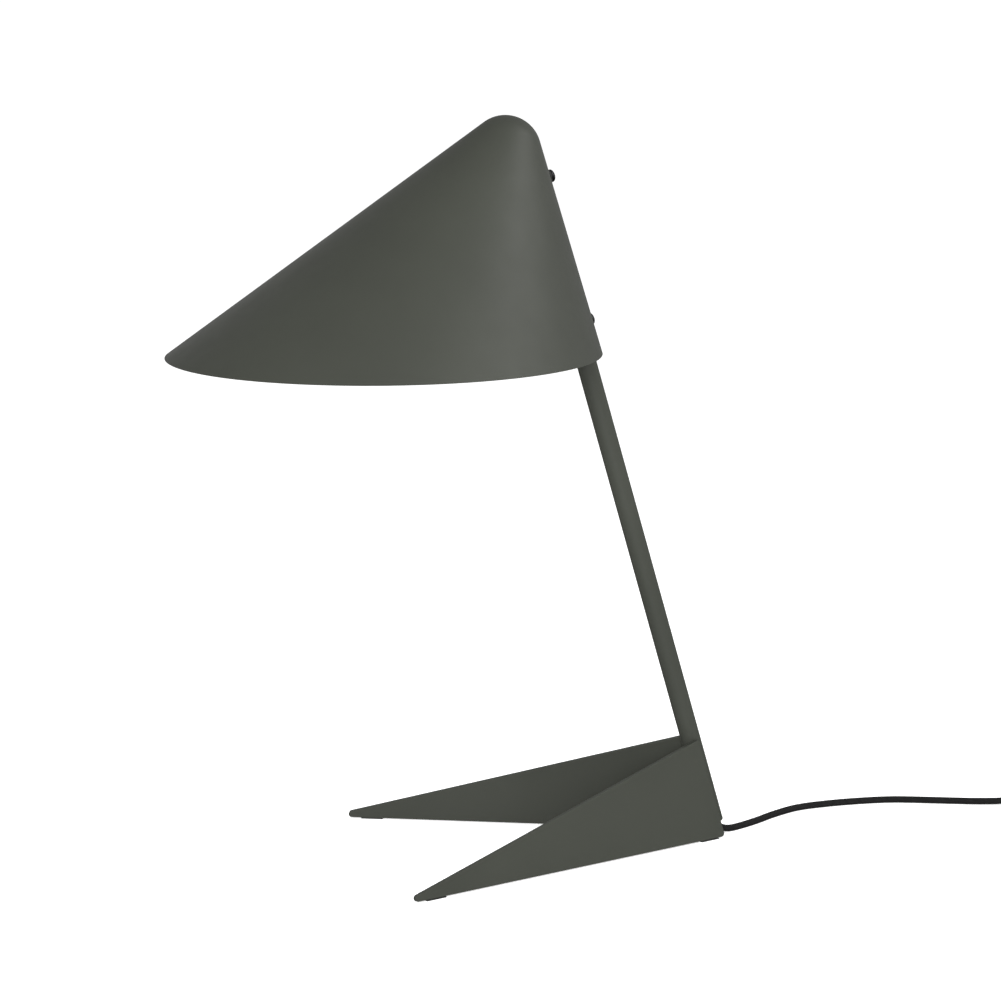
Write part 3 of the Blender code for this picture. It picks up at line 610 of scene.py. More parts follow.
def make_surroundings():
    """White at the horizon, softer higher up, and dark below it."""
    world = bpy.data.worlds.new("surroundings")
    world.use_nodes = True
    way = add_node(world, "ShaderNodeTexCoord", {}).outputs["Object"]
    height = add_node(world, "ShaderNodeSeparateXYZ", {"Vector": way}).outputs["Z"]
    share = add_node(world, "ShaderNodeMapRange", {"Value": height, "From Min": -1.0})
    ramp = add_node(world, "ShaderNodeValToRGB", {"Fac": share.outputs["Result"]})
    steps = ramp.color_ramp.elements
    while len(steps) < len(SURROUNDING_STEPS):
        steps.new(1.0)
    for step, (height, tone) in zip(steps, SURROUNDING_STEPS):
        step.position = (height + 1.0) / 2.0
        step.color = (tone, tone, tone, 1.0)
    background = world.node_tree.nodes["Background"]
    world.node_tree.links.new(ramp.outputs["Color"], background.inputs["Color"])
    bpy.context.scene.world = world


def soft_box(name, way, distance, side, power):
    """A square light that faces the hood."""
    light = bpy.data.lights.new(name, "AREA")
    light.shape = "SQUARE"
    light.size = side
    light.energy = power
    lamp = bpy.data.objects.new(name, light)
    lamp.location = HOOD_MIDDLE + way * distance
    lamp.rotation_euler = way.to_track_quat("Z", "Y").to_euler()
    bpy.context.scene.collection.objects.link(lamp)


bpy.context.scene.view_settings.view_transform = "Standard"
make_floor()
make_surroundings()
soft_box("key_light", KEY_WAY, KEY_DISTANCE, KEY_SIDE, KEY_POWER)
soft_box("fill_light", FILL_WAY, FILL_DISTANCE, FILL_SIDE, FILL_POWER)
print("floor and light ready")

# %% [markdown]
# ## Shape helpers
# Most parts of a lamp are turned, cut from plate or moulded. Each of these has one helper
# here: `turned` spins a half section, `plate` gives an outline its thickness, `block` starts
# from a cube, and `soften` rounds the edges that a hand would feel. `finished` then makes the
# shape a piece: it takes its holes out, gives it its finish and says what it rides on.

# %% Shape helpers
def turned(sections, place, steps=96):
    """Spins half sections of (radius, height) about Z. A ring's section ends where it began."""
    shape = bmesh.new()
    for section in sections:
        closed = section[0] == section[-1]
        points = section[:-1] if closed else section
        corners = [shape.verts.new((radius, 0.0, height)) for radius, height in points]
        pairs = zip(corners, corners[1:] + corners[:1] if closed else corners[1:])
        lines = [shape.edges.new(pair) for pair in pairs]
        bmesh.ops.spin(
            shape,
            geom=corners + lines,
            cent=(0.0, 0.0, 0.0),
            axis=(0.0, 0.0, 1.0),
            angle=2.0 * math.pi,
            steps=steps,
            use_merge=True,
        )
    bmesh.ops.remove_doubles(shape, verts=shape.verts, dist=0.000001)
    bmesh.ops.recalc_face_normals(shape, faces=shape.faces)
    shape.transform(place)
    return shape


def plate(outline, thickness, place):
    """A flat outline in the XY plane, with half its thickness on each side."""
    shape = bmesh.new()
    corners = [shape.verts.new((x, y, -thickness / 2.0)) for x, y in outline]
    face = shape.faces.new(corners)
    grown = bmesh.ops.extrude_face_region(shape, geom=[face])["geom"]
    lifted = [item for item in grown if isinstance(item, bmesh.types.BMVert)]
    bmesh.ops.translate(shape, vec=(0.0, 0.0, thickness), verts=lifted)
    bmesh.ops.recalc_face_normals(shape, faces=shape.faces)
    shape.transform(place)
    return shape


def block(low, high, place=Matrix.Identity(4)):
    """A box between two corners of a frame."""
    shape = bmesh.new()
    bmesh.ops.create_cube(shape, size=1.0)
    bmesh.ops.scale(shape, vec=Vector(high) - Vector(low), verts=shape.verts)
    bmesh.ops.translate(shape, vec=(Vector(high) + Vector(low)) / 2.0, verts=shape.verts)
    shape.transform(place)
    return shape


def rod(place, radius, low, high, sides=48):
    """A rod or prism along Z between two heights."""
    shape = bmesh.new()
    bmesh.ops.create_cone(
        shape, cap_ends=True, segments=sides, radius1=radius, radius2=radius, depth=high - low
    )
    bmesh.ops.translate(shape, vec=(0.0, 0.0, (low + high) / 2.0), verts=shape.verts)
    shape.transform(place)
    return shape


def soften(shape, width, segments=2, crease=30.0, among=None):
    """Rounds the edges that are sharper than the crease angle."""
    shape.normal_update()
    sharp = [
        edge
        for edge in (among or shape.edges)
        if edge.is_manifold and edge.calc_face_angle() > math.radians(crease)
    ]
    bmesh.ops.bevel(
        shape,
        geom=sharp,
        offset=width,
        offset_type="OFFSET",
        segments=segments,
        profile=0.5,
        affect="EDGES",
        clamp_overlap=True,
        material=-1,
    )
    return shape


def arc(centre, radius, start, end, steps):
    """Points of an arc from one angle to another, in degrees."""
    angles = [math.radians(start + (end - start) * step / steps) for step in range(steps + 1)]
    return [
        (centre[0] + radius * math.cos(angle), centre[1] + radius * math.sin(angle))
        for angle in angles
    ]


def rounded_outline(corners, radii, steps=8):
    """A closed outline with an arc at each corner."""
    outline = []
    count = len(corners)
    for index, radius in enumerate(radii):
        corner = Vector(corners[index])
        to_last = (Vector(corners[index - 1]) - corner).normalized()
        to_next = (Vector(corners[(index + 1) % count]) - corner).normalized()
        half = to_last.angle(to_next) / 2.0
        middle = corner + (to_last + to_next).normalized() * radius / math.sin(half)
        first = corner + to_last * radius / math.tan(half) - middle
        last = corner + to_next * radius / math.tan(half) - middle
        sweep = first.angle_signed(last)
        for step in range(steps + 1):
            outline.append(tuple(middle + Matrix.Rotation(-sweep * step / steps, 2) @ first))
    return outline


print("shape helpers ready")

# %% [markdown]
# ## From a shape to a piece
# Holes are taken out with an exact Boolean, which is applied at once so that no cutter stays in
# the file. Smooth shading with sharp creases, and normals weighted by the size of the faces,
# keep flat faces flat up to their rounded edges.

# %% Finishing helpers
def carve(piece, cutter):
    """Takes one closed shape out of a piece and leaves no modifier behind."""
    tool = bpy.data.objects.new("cutter", bpy.data.meshes.new("cutter"))
    cutter.to_mesh(tool.data)
    cutter.free()
    bpy.context.scene.collection.objects.link(tool)
    boolean = piece.modifiers.new("carve", "BOOLEAN")
    boolean.operation = "DIFFERENCE"
    boolean.solver = "EXACT"
    boolean.object = tool
    bpy.context.view_layer.update()
    graph = bpy.context.evaluated_depsgraph_get()
    carved = bpy.data.meshes.new_from_object(piece.evaluated_get(graph))
    piece.modifiers.remove(boolean)
    piece.data = carved
    bpy.data.objects.remove(tool)


def finished(name, shape, coat, stands_for=(), body="lamp", cuts=(), crease=35.0):
    """Makes a shape a piece: its holes, its finish, its body and the nodes it stands for."""
    mesh = bpy.data.meshes.new(name)
    shape.to_mesh(mesh)
    shape.free()
    piece = bpy.data.objects.new(name, mesh)
    bpy.context.scene.collection.objects.link(piece)
    for cutter in cuts:
        carve(piece, cutter)
    piece.data.name = name
    piece.data.materials.clear()
    piece.data.materials.append(coat)
    piece.data.shade_smooth()
    piece.data.set_sharp_from_angle(angle=math.radians(crease))
    weights = piece.modifiers.new("weights", "WEIGHTED_NORMAL")
    weights.keep_sharp = True
    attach(piece, body)
    if stands_for:
        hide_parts(*stands_for)
    print(name + ":", len(piece.data.polygons), "faces")


def ring_section(outer, inner, low, high):
    """The closed half section of a plain tube."""
    return [(outer, low), (outer, high), (inner, high), (inner, low), (outer, low)]


# %% [markdown]
# ## The hood
# The hood is one cone of sheet steel with a rounded nose, cut off level at its mouth. Its back
# runs parallel to the stem, which it is screwed to, and its front reaches out over the desk.
#
# The cone could be a primitive, but its axis leans and its mouth is level, so no primitive has
# this rim. Instead an outer and an inner half section are spun about the leaning axis, a level
# plane cuts both, and a bridge between the two cut edges makes the rim, one sheet thick.

# %% The cone's frame, from the mouth's box
HOOD_HALF_ANGLE = 35.3
HOOD_NOSE_RADIUS = 0.0278
HOOD_WALL = 0.0010
HOOD_LONGEST_RADIUS = 0.2060

hood_low, hood_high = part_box("hood")
front_slope = math.tan(math.radians(2.0 * HOOD_HALF_ANGLE - STEM_LEAN))
back_slope = math.tan(math.radians(STEM_LEAN))
apex_rise = (hood_high.x - hood_low.x) / (front_slope + back_slope)
apex = Vector((hood_high.x - apex_rise * back_slope, 0.0, hood_low.z + apex_rise))
HOOD = Matrix.Translation(apex) @ turned_about("Y", HOOD_HALF_ANGLE - STEM_LEAN)
print("the cone's sharp apex would be at", [round(value, 4) for value in apex])


# %% Hood
def screw_place(side):
    """Z out of the hood's back through one of the two screws."""
    height = (STEM.inverted() @ middle_of(side + "_hood_washer")).z
    return STEM @ moved(z=height) @ turned_about("Y", 90.0)


def cone_section(radius):
    """The half section of the cone with a nose of this radius."""
    centre = (0.0, -HOOD_NOSE_RADIUS / math.sin(math.radians(HOOD_HALF_ANGLE)))
    nose = arc(centre, radius, 90.0, HOOD_HALF_ANGLE, 18)
    nose[0] = (0.0, centre[1] + radius)
    edge_radius, edge_height = nose[-1]
    drop = (HOOD_LONGEST_RADIUS - edge_radius) / math.tan(math.radians(HOOD_HALF_ANGLE))
    return [*nose, (HOOD_LONGEST_RADIUS, edge_height - drop)]


def make_hood():
    """The hood, with its level rim and its two screw holes."""
    sections = [cone_section(HOOD_NOSE_RADIUS), cone_section(HOOD_NOSE_RADIUS - HOOD_WALL)]
    shape = turned(sections, HOOD, 256)
    everything = [*shape.verts, *shape.edges, *shape.faces]
    mouth = Vector((0.0, 0.0, hood_low.z))
    level = Vector((0.0, 0.0, 1.0))
    bmesh.ops.bisect_plane(shape, geom=everything, plane_co=mouth, plane_no=level, clear_inner=True)
    cut_edges = [edge for edge in shape.edges if edge.is_boundary]
    bmesh.ops.bridge_loops(shape, edges=cut_edges)
    bmesh.ops.recalc_face_normals(shape, faces=shape.faces)
    rim = [
        edge
        for edge in shape.edges
        if all(abs(vertex.co.z - mouth.z) < 0.00001 for vertex in edge.verts)
    ]
    soften(shape, 0.00028, 2, 20.0, rim)
    holes = [rod(screw_place(side), 0.0028, 0.0085, 0.0140) for side in ("upper", "lower")]
    finished("hood_shell", shape, POWDER_COAT, ["hood"], cuts=holes)


make_hood()

# %% [markdown]
# ## The stem
# The stem is a plain round tube. It carries everything: the hood's two screws go into threaded
# inserts in it, the holder's wires leave it through a side hole, and the cord comes out of its
# lower end. Spun as a ring section, it is hollow, so its open end looks right from below.

# %% Stem and cord bush
def make_stem():
    """The tube, with its holes."""
    low, high = span("stem", STEM)
    section = ring_section(high.y, high.y - 0.0015, low.z, high.z)
    shape = soften(turned([section], STEM), 0.0004, 2)
    holes = [rod(HOLDER, 0.0035, 0.004, 0.010)]
    for side in ("upper", "lower"):
        holes.append(rod(screw_place(side), 0.0037, 0.004, 0.010))
    finished("stem_tube", shape, POWDER_COAT, ["stem"], cuts=holes)


def make_bush():
    """The bell-mouthed bush that the cord bends over."""
    low, high = span("cord_bush", STEM)
    throat = CORD_RADIUS + 0.0003
    bell = [(throat, 0.0250), (0.0036, 0.0195), (0.0044, 0.0150), (0.0054, low.z)]
    section = [(high.y, low.z), (high.y, high.z), (throat, high.z), *bell, (high.y, low.z)]
    shape = soften(turned([section], STEM, 64), 0.00025, 2, 40.0)
    finished("bush", shape, BLACK_PLASTIC, ["cord_bush"])


make_stem()
make_bush()

# %% [markdown]
# ## The leg plates
# Two triangles of 4 mm plate are welded to the sides of the stem and splay out in plan. Each
# contains the stem's own direction, so its back edge runs up along the tube. The corners are
# arcs, and all edges are eased: that thin rounded edge is what catches the light.

# %% Leg plates
LEG_SPLAY = math.radians(21.5)
LEG_THICKNESS = 0.0040
LEG_CORNER_RADII = (0.0026, 0.0010, 0.0026)  # heel, top and toe
LEG_BEHIND = 0.0028  # the back edge stands this far behind the stem's axis
LEG_REACH = 0.2945  # from the stem's foot to the sharp point of the toe, along X
LEG_HEIGHT = 0.0828
LEG_EDGE = 0.00045


def leg_frame(side):
    """The plate's middle plane: X to the toe, Y up the plate. side is -1 left, +1 right."""
    to_toe = Vector((-math.cos(LEG_SPLAY), side * math.sin(LEG_SPLAY), 0.0))
    outward = up_stem.cross(to_toe).normalized()
    outward *= math.copysign(1.0, outward.y * side)
    up_plate = to_toe.cross(outward)
    up_plate *= math.copysign(1.0, up_plate.z)
    origin = STEM.translation + outward * (STEM_RADIUS + 0.0003 + LEG_THICKNESS / 2.0)
    return frame_at(origin, to_toe, up_plate)


def on_plate(place, x, height):
    """The point of the plate's plane at this place along X and this height."""
    local_y = (height - place.translation.z) / place.col[1].z
    return ((x - place.translation.x - place.col[1].x * local_y) / place.col[0].x, local_y)


def make_leg(name, side):
    """One leg plate."""
    place = leg_frame(side)
    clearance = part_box(name + "_leg")[0].z
    foot = STEM.translation.x + LEG_BEHIND
    heel = on_plate(place, foot - clearance * back_slope, clearance)
    top = on_plate(place, foot - LEG_HEIGHT * back_slope, LEG_HEIGHT)
    toe = on_plate(place, STEM.translation.x - LEG_REACH, clearance)
    outline = rounded_outline([heel, top, toe], LEG_CORNER_RADII)
    shape = soften(plate(outline, LEG_THICKNESS, place), LEG_EDGE, 3)
    finished(name + "_leg_plate", shape, POWDER_COAT, [name + "_leg"])
    return place


left_plate = make_leg("left", -1.0)
right_plate = make_leg("right", 1.0)

# %% [markdown]
# ## Foot pads and weld beads
# A thin rubber pad under each end of the plates keeps paint off the desk. Where the stem meets
# a plate, a weld bead fills the groove between the tube and the plate. A bead could be a plain
# swept fillet, but a hand weld swells and thins, so the rings along it vary in size.

# %% Foot pads
def make_pad(name, plate_frame):
    """A pad that lies along its plate."""
    along = plate_frame.col[0].xyz
    place = frame_at(middle_of(name), along, Vector((0.0, 0.0, 1.0)).cross(along))
    low, high = span(name, place)
    shape = soften(block(low, high, place), 0.00025, 2)
    return finished(name + "_rubber", shape, BLACK_RUBBER, [name])


for end in ("toe", "heel"):
    make_pad("left_" + end + "_pad", left_plate)
    make_pad("right_" + end + "_pad", right_plate)

# %% Weld beads
BEAD_RADIUS = 0.0019
BEAD_LOW = 0.0060
BEAD_HIGH = 0.0855
BEAD_STEPS = 64


def bead_place(plate_frame, side):
    """The groove in front of the stem, between it and one plate."""
    outward = plate_frame.col[2].xyz * math.copysign(1.0, plate_frame.col[2].y * side)
    local = STEM.to_3x3().inverted() @ outward
    heading = turned_about("Z", math.degrees(math.atan2(local.y * side, local.x * side)) - 90.0)
    corner = math.radians(36.0)
    groove = moved(-STEM_RADIUS * math.sin(corner), side * (STEM_RADIUS - 0.0008))
    return STEM @ heading @ groove


def make_bead(name, plate_frame, side):
    """One bead: a thin turned rod that swells and thins."""
    section = [(0.0, BEAD_LOW)]
    for step in range(BEAD_STEPS + 1):
        share = step / BEAD_STEPS
        swell = 1.0 + 0.10 * math.sin(step * 1.9) + 0.06 * math.sin(step * 0.7)
        ease = min(1.0, 0.35 + 8.0 * min(share, 1.0 - share))
        height = BEAD_LOW + 0.0002 + (BEAD_HIGH - BEAD_LOW - 0.0004) * share
        section.append((BEAD_RADIUS * swell * ease, height))
    section.append((0.0, BEAD_HIGH))
    shape = turned([section], bead_place(plate_frame, side), 14)
    finished(name + "_weld_bead", shape, POWDER_COAT, crease=60.0)


make_bead("left", left_plate, -1.0)
make_bead("right", right_plate, 1.0)

# %% [markdown]
# ## The hood's screws
# Each screw has a low domed head with a hex socket and holds the hood against a soft washer.
# A head could be half a sphere, but real ones are flatter and have a small straight edge
# below the dome, so the head is spun from its own half section.

# %% Hood screws and washers
def make_hood_screw(side):
    """One screw and its washer."""
    place = screw_place(side)
    screw_low, screw_high = span(side + "_hood_screw", place)
    washer_low, washer_high = span(side + "_hood_washer", place)
    radius = screw_high.y
    seat = washer_high.z + 0.0003
    tall = screw_high.z - seat
    dome = arc((0.0, 0.0), radius, 90.0, 14.0, 14)
    crown = [(x, seat + 0.0002 + y * (tall - 0.0002) / radius) for x, y in dome]
    crown[0] = (0.0, screw_high.z)
    shank = [(0.0023, seat), (0.0023, screw_low.z), (0.0, screw_low.z)]
    shape = turned([[*crown, (radius - 0.0001, seat), *shank]], place, 64)
    socket = rod(place @ turned_about("Z", 30.0), 0.00175, screw_high.z - 0.0022, screw_high.z + 0.002, 6)
    name = side + "_hood_bolt"
    finished(name, shape, BLACK_OXIDE, [side + "_hood_screw"], cuts=[socket])
    section = ring_section(washer_high.y, 0.0026, washer_low.z, washer_high.z)
    shape = soften(turned([section], place, 64), 0.0002, 2)
    finished(side + "_washer_ring", shape, BLACK_RUBBER, [side + "_hood_washer"])


make_hood_screw("upper")
make_hood_screw("lower")

# %% [markdown]
# ## The lamp holder
# A short welded boss on the stem carries a hollow threaded nipple, a lock nut and the holder.
# The holder's cap and skirt are moulded and screw together. The thread between them doesn't
# show, but the ribs that fingers grip do, so they are cut into the skirt's lower end.

# %% Boss and lock nut
SKIRT_RADIUS = 0.0135  # of the cap too, so that they read as one barrel
SKIRT_BORE = 0.0117
NIPPLE_HOLE = 0.0053
NUT_RADIUS = 0.0081  # to its corners
RIB_COUNT = 7
RIB_PITCH = 0.0016
RIB_DEPTH = 0.0004


def make_boss():
    """The boss, with a saddle that fits the stem."""
    low, high = span("holder_boss", HOLDER)
    section = ring_section(high.y, NIPPLE_HOLE, low.z, high.z)
    shape = soften(turned([section], HOLDER, 64), 0.0004, 2)
    saddle = rod(STEM, STEM_RADIUS + 0.0003, holder_height - 0.02, holder_height + 0.02, 96)
    finished("boss_ring", shape, POWDER_COAT, ["holder_boss"], cuts=[saddle])


def make_lock_nut():
    """The six-sided nut on the nipple."""
    low, high = span("nipple_lock_nut", HOLDER)
    bore = rod(HOLDER, NIPPLE_HOLE, low.z - 0.002, high.z + 0.002)
    shape = soften(rod(HOLDER, NUT_RADIUS, low.z, high.z, 6), 0.0003, 2)
    finished("lock_nut", shape, PLATED_STEEL, ["nipple_lock_nut"], cuts=[bore])


make_boss()
make_lock_nut()


# %% Cap and skirt
def make_cap():
    """The holder's cap, which narrows to a neck at the nipple."""
    shoulder = arc((0.0115, 0.0290), 0.0020, 0.0, -50.0, 5)
    outer = [(SKIRT_RADIUS, 0.0380), (SKIRT_RADIUS, 0.0300), *shoulder]
    neck = [(0.0085, 0.0247), (0.0075, 0.0238), (0.0075, 0.0176)]
    inner = [(NIPPLE_HOLE, 0.0176), (NIPPLE_HOLE, 0.0235), (SKIRT_BORE, 0.0305), (SKIRT_BORE, 0.0380)]
    shape = turned([[*outer, *neck, *inner, outer[0]]], HOLDER, 96)
    finished("holder_cap_moulding", shape, BLACK_PLASTIC, ["holder_cap"])


def make_skirt():
    """The skirt, with its ribs."""
    low, high = span("holder_skirt", HOLDER)
    groove = SKIRT_RADIUS - RIB_DEPTH
    edge = SKIRT_RADIUS - 0.0003
    ribs = []
    for rib in range(RIB_COUNT):
        start = low.z + 0.004 + rib * RIB_PITCH
        ribs += [(SKIRT_RADIUS, start), (groove, start + 0.0004)]
        ribs += [(groove, start + 0.0008), (SKIRT_RADIUS, start + 0.0012)]
    section = [(edge, low.z), *ribs, (SKIRT_RADIUS, high.z - 0.0003), (edge, high.z)]
    section += [(0.0120, high.z), (SKIRT_BORE, high.z - 0.0003), (SKIRT_BORE, low.z), (edge, low.z)]
    shape = turned([section], HOLDER, 96)
    finished("holder_skirt_moulding", shape, BLACK_PLASTIC, ["holder_skirt"])


make_cap()
make_skirt()

# %% [markdown]
# ## The bulb
# An LED bulb in the classic drop shape: an opal globe, a white collar that hides the driver,
# and a threaded cap. Every part of it turns with the bulb. A real thread is a helix, and so
# is this one: the groove that is pressed into the cap climbs one pitch in each turn.

# %% Globe and collar
GLOBE_RADIUS = 0.0225
NECK_RADIUS = 0.0130


def make_globe():
    """The opal globe, a thin shell with an open neck."""
    high = span("bulb_globe", HOLDER)[1]
    neck = math.degrees(math.asin(NECK_RADIUS / GLOBE_RADIUS))
    centre = (0.0, high.z - GLOBE_RADIUS)
    outer = arc(centre, GLOBE_RADIUS, 90.0, neck - 90.0, 40)
    outer[0] = (0.0, high.z)
    inner = arc(centre, GLOBE_RADIUS - 0.001, neck - 88.5, 90.0, 40)
    inner[-1] = (0.0, high.z - 0.001)
    shape = turned([[*outer, *inner]], HOLDER, 96)
    finished("globe", shape, OPAL, ["bulb_globe"], "bulb", crease=60.0)


def make_collar():
    """The moulded collar between the globe and the cap."""
    low, high = span("bulb_collar", HOLDER)
    foot, rim = low.z, high.z
    flare = [(0.0138, rim), (0.0137, rim - 0.0014), (0.0131, rim - 0.0040), (0.0120, rim - 0.0068)]
    waist = [(0.0104, rim - 0.0100), (0.0091, rim - 0.0121), (0.0085, foot + 0.0006), (0.0080, foot)]
    shape = turned([[(0.0, rim), (0.0134, rim), *flare[1:], *waist, (0.0, foot)]], HOLDER, 96)
    finished("collar", shape, WHITE_PLASTIC, ["bulb_collar"], "bulb")


make_globe()
make_collar()

# %% Threaded cap
THREAD_PITCH = 0.0036
THREAD_DEPTH = 0.0007
THREAD_ROWS = 72


def make_screw_cap():
    """The bulb's cap: a fine ring is turned first, and then its thread is pressed in."""
    low, high = span("bulb_screw_cap", HOLDER)
    heights = [low.z + (high.z - low.z) * row / THREAD_ROWS for row in range(THREAD_ROWS + 1)]
    outside = [(high.y, height) for height in heights]
    inside = [(high.y - 0.0004, height) for height in reversed(heights)]
    shape = turned([[*outside, *inside, outside[0]]], Matrix.Identity(4), 64)
    for vertex in shape.verts:
        x, y, z = vertex.co
        phase = 2.0 * math.pi * z / THREAD_PITCH - math.atan2(y, x)
        ease = min(1.0, 9.0 * min(z - low.z, high.z - z) / (high.z - low.z))
        pressed = 1.0 - THREAD_DEPTH * ease * (0.5 - 0.5 * math.cos(phase)) / math.hypot(x, y)
        vertex.co = (x * pressed, y * pressed, z)
    shape.transform(HOLDER)
    finished("threaded_cap", shape, NICKEL, ["bulb_screw_cap"], "bulb", crease=50.0)


make_screw_cap()

# %% [markdown]
# ## The switch
# The switch is a small moulded case in two halves, parted at half height, with a rocker in its
# upper side. The joint line between the halves is real: they are two pieces with a gap. The
# case is hollow, so its window, the rocker's well and the cord's two entries are cut out.

# %% Switch case
CASE_LENGTH, CASE_WIDTH, CASE_HEIGHT = 0.054, 0.025, 0.017
CASE_ROUND = 0.0040
CASE_WALL = 0.0018
WINDOW = (0.01770, 0.0098)


def rounded_block(low, high, width, place, segments=5):
    """A block with all edges rounded."""
    shape = soften(block(low, high), width, segments, 30.0)
    shape.transform(place)
    return shape


def case_block(inset):
    """The case's outside, or with an inset its hollow."""
    half = Vector((CASE_LENGTH / 2.0 - inset, CASE_WIDTH / 2.0 - inset, 0.0))
    low = (-half.x, -half.y, inset)
    high = (half.x, half.y, CASE_HEIGHT - inset)
    return rounded_block(low, high, CASE_ROUND - inset, SWITCH)


def make_case(name, node, clear_low, clear_high, extra):
    """One half of the case. What lies between the two heights is cleared away."""
    clear = block((-0.04, -0.03, clear_low), (0.04, 0.03, clear_high), SWITCH)
    entry = rod(SWITCH @ moved(z=ENTRY_HEIGHT) @ turned_about("Y", 90.0), 0.0031, -0.04, 0.04)
    cuts = [case_block(CASE_WALL), clear, entry, *extra]
    finished(name, case_block(0.0), BLACK_PLASTIC, [node], cuts=cuts)


def case_screws():
    """The recesses for the two screws in the underside."""
    spots = ((-0.0185, -0.0078), (0.0185, 0.0078))
    return [rod(SWITCH @ moved(x, y), 0.0025, -0.001, 0.0025) for x, y in spots]


window_half = Vector((WINDOW[0] / 2.0, WINDOW[1] / 2.0, 0.0040))
window_middle = Vector((0.0, 0.0, 0.0160))
window_block = block(window_middle - window_half, window_middle + window_half, SWITCH)
make_case("lower_case", "switch_lower_housing", 0.00835, 0.03, case_screws())
make_case("upper_case", "switch_upper_housing", -0.01, 0.00865, [window_block])

# %% [markdown]
# ## The rocker
# The rocker is pressed at one end or the other and tilts about a pin. Its top is a shallow V,
# so one half is always raised. It is extruded from its side outline, and it rides the
# rocker's own body, so it tilts when the joint moves.

# %% Rocker
ROCKER_TILT = 9.0
ROCKER_WIDTH = 0.0090


def make_rocker():
    """The rocker, tilted as it rests."""
    place = SWITCH @ moved(z=rocker_pivot.z) @ turned_about("Y", ROCKER_TILT)
    outline = [(-0.00825, 0.0008), (-0.0030, -0.0034), (0.0030, -0.0034), (0.00825, 0.0008)]
    outline += [(0.00785, 0.0052), (0.0, 0.0036), (-0.00785, 0.0052)]
    flat = place @ turned_about("X", 90.0)
    shape = soften(plate(outline, ROCKER_WIDTH, flat), 0.0003, 3, 4.0)
    bore = rod(flat, 0.0013, -0.01, 0.01)
    node = ["switch_rocker"]
    finished("rocker_key", shape, BLACK_PLASTIC, node, "rocker", [bore])


make_rocker()

# %% [markdown]
# ## Cord reliefs
# Where the cord enters the switch and the plug, a soft sleeve tapers down to it so that the
# cord can't be bent sharply. The sleeve has grooves all round, which let it flex. Each is
# spun from a half section whose outside steps in and out.

# %% Reliefs
RELIEF_LENGTH = 0.020
RELIEF_BORE = 0.0031


def make_relief(name, node, place):
    """A grooved, tapering sleeve that runs along its frame's X."""
    along = place @ turned_about("Y", 90.0)
    low, high = span(node, along)
    outside = []
    for groove in range(5):
        for share, step in ((0.10, 0.0), (0.55, 0.0), (0.63, 0.0008), (0.92, 0.0008)):
            height = RELIEF_LENGTH * (groove + share) / 5.4
            taper = high.y - 0.0018 * height / RELIEF_LENGTH
            outside.append((taper - step, low.z + height))
    outside.append((0.0040, high.z - 0.0010))
    outside.append((0.0038, high.z - 0.0003))
    mouth = [(0.0035, high.z), (RELIEF_BORE, high.z - 0.0003), (RELIEF_BORE, low.z)]
    start = (high.y, low.z)
    shape = turned([[start, *outside, *mouth, start]], along, 48)
    finished(name, shape, BLACK_RUBBER, [node], crease=50.0)


back_to_front = turned_about("Z", 180.0)
switch_middle = SWITCH @ moved(z=CASE_HEIGHT / 2.0)
make_relief("front_relief_sleeve", "front_switch_relief", switch_middle)
make_relief("rear_relief_sleeve", "rear_switch_relief", switch_middle @ back_to_front)
make_relief("plug_relief_sleeve", "plug_relief", PLUG @ back_to_front)

# %% [markdown]
# ## The plug
# A flat two-pin plug with a moulded body. The body could be turned or lofted, but a block with
# all its edges rounded is closer to the real moulding. Each round pin is plated, has a rounded
# tip, and stands in a bore that is cut a little wider than itself.

# %% Plug
def make_plug():
    """The plug's body and its two pins."""
    low, high = span("plug_body", PLUG)
    body = rounded_block(low, high, 0.0045, PLUG, 6)
    holes = [rod(PLUG @ moved(x=low.x) @ turned_about("Y", 90.0), 0.0031, -0.002, 0.0045)]
    for side in (-1.0, 1.0):
        place = PLUG @ moved(y=side * 0.0093) @ turned_about("Y", 90.0)
        holes.append(rod(place, 0.0023, 0.0097, 0.03))
    finished("plug_moulding", body, BLACK_PLASTIC, ["plug_body"], cuts=holes)
    for name in ("left", "right"):
        node = name + "_plug_pin"
        place = PLUG @ moved(y=(PLUG.inverted() @ middle_of(node)).y) @ turned_about("Y", 90.0)
        pin_low, pin_high = span(node, place)
        radius, tip = pin_high.y, pin_high.z
        nose = arc((radius - 0.0014, tip - 0.0014), 0.0014, 90.0, 0.0, 6)
        section = [(0.0, tip), *nose, (radius, pin_low.z), (0.0, pin_low.z)]
        shape = turned([section], place, 48)
        finished(name + "_contact_pin", shape, NICKEL, [node])


make_plug()

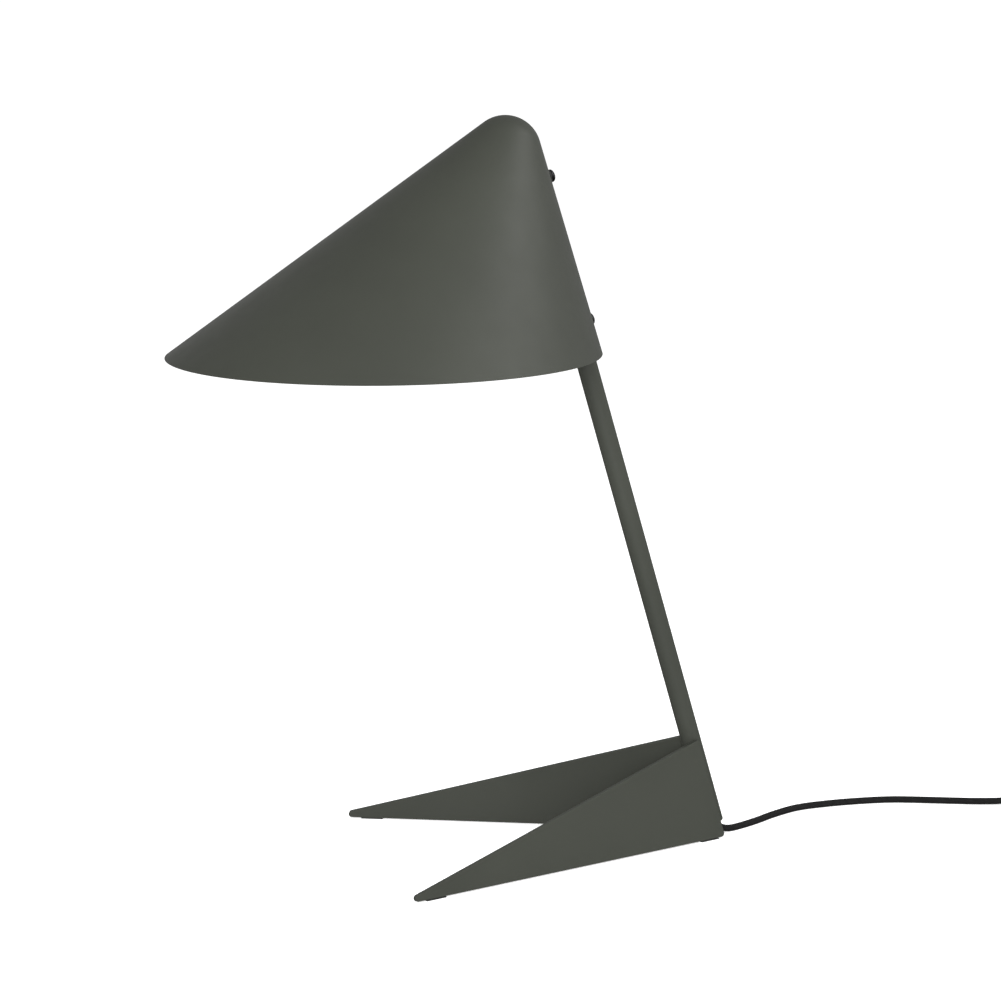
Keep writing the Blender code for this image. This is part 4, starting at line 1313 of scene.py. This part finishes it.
# %% [markdown]
# ## The tie
# The unseen length of the cord is kept in a coil by a fabric strap that goes once round all of
# its turns. The strap is a flat band, so it is an outline with an inside, pulled into a loop.

# %% Tie
TIE_WALL = 0.0010


def make_tie():
    """A closed loop of strap about the bundle."""
    low, high = span("coil_tie", COIL)
    middle = (low + high) / 2.0
    place = COIL @ Matrix.Translation(middle) @ turned_about("Z", 90.0) @ turned_about("X", 90.0)
    wide, tall = (high.y - low.y) / 2.0, (high.z - low.z) / 2.0
    corners = [(-wide, -tall), (wide, -tall), (wide, tall), (-wide, tall)]
    outside = rounded_outline(corners, (0.004,) * 4, 8)
    inner = [(x * (1.0 - TIE_WALL / wide), y * (1.0 - TIE_WALL / tall)) for x, y in corners]
    shape = plate(outside, high.x - low.x, place)
    hollow = plate(rounded_outline(inner, (0.003,) * 4, 8), 0.05, place)
    finished("strap_tie", shape, STRAP, ["coil_tie"], cuts=[hollow])


make_tie()

# %% [markdown]
# ## Small parts that need no remaking
# The small parts inside the stem, the holder and the switch are plain turned or stamped
# shapes. The CAD already has them as they are, so they keep their shape and only get finishes.

# %% Finishes of the carried-over parts
KEPT_FINISHES = {
    "stem_end_cap": BLACK_PLASTIC,
    "upper_threaded_insert": PLATED_STEEL,
    "lower_threaded_insert": PLATED_STEEL,
    "holder_nipple": BRASS,
    "holder_core": CERAMIC,
    "screw_shell_contact": BRASS,
    "centre_contact": BRASS,
    "bulb_insulator": BLACK_PLASTIC,
    "bulb_eyelet": NICKEL,
    "bulb_led_plate": WHITE_PLASTIC,
    "inner_lead": INNER_TEXTILE,
    "live_core": BROWN_CORE,
    "neutral_core": BLUE_CORE,
    "rocker_pin": PLATED_STEEL,
    "switch_contact_strip": BRASS,
    "live_terminal": BRASS,
    "neutral_terminal": BRASS,
    "front_switch_screw": PLATED_STEEL,
    "rear_switch_screw": PLATED_STEEL,
}
for node, coat in KEPT_FINISHES.items():
    for material_slot in frame["nodes"][node].material_slots:
        material_slot.material = coat
print("carried over with new finishes:", len(KEPT_FINISHES))
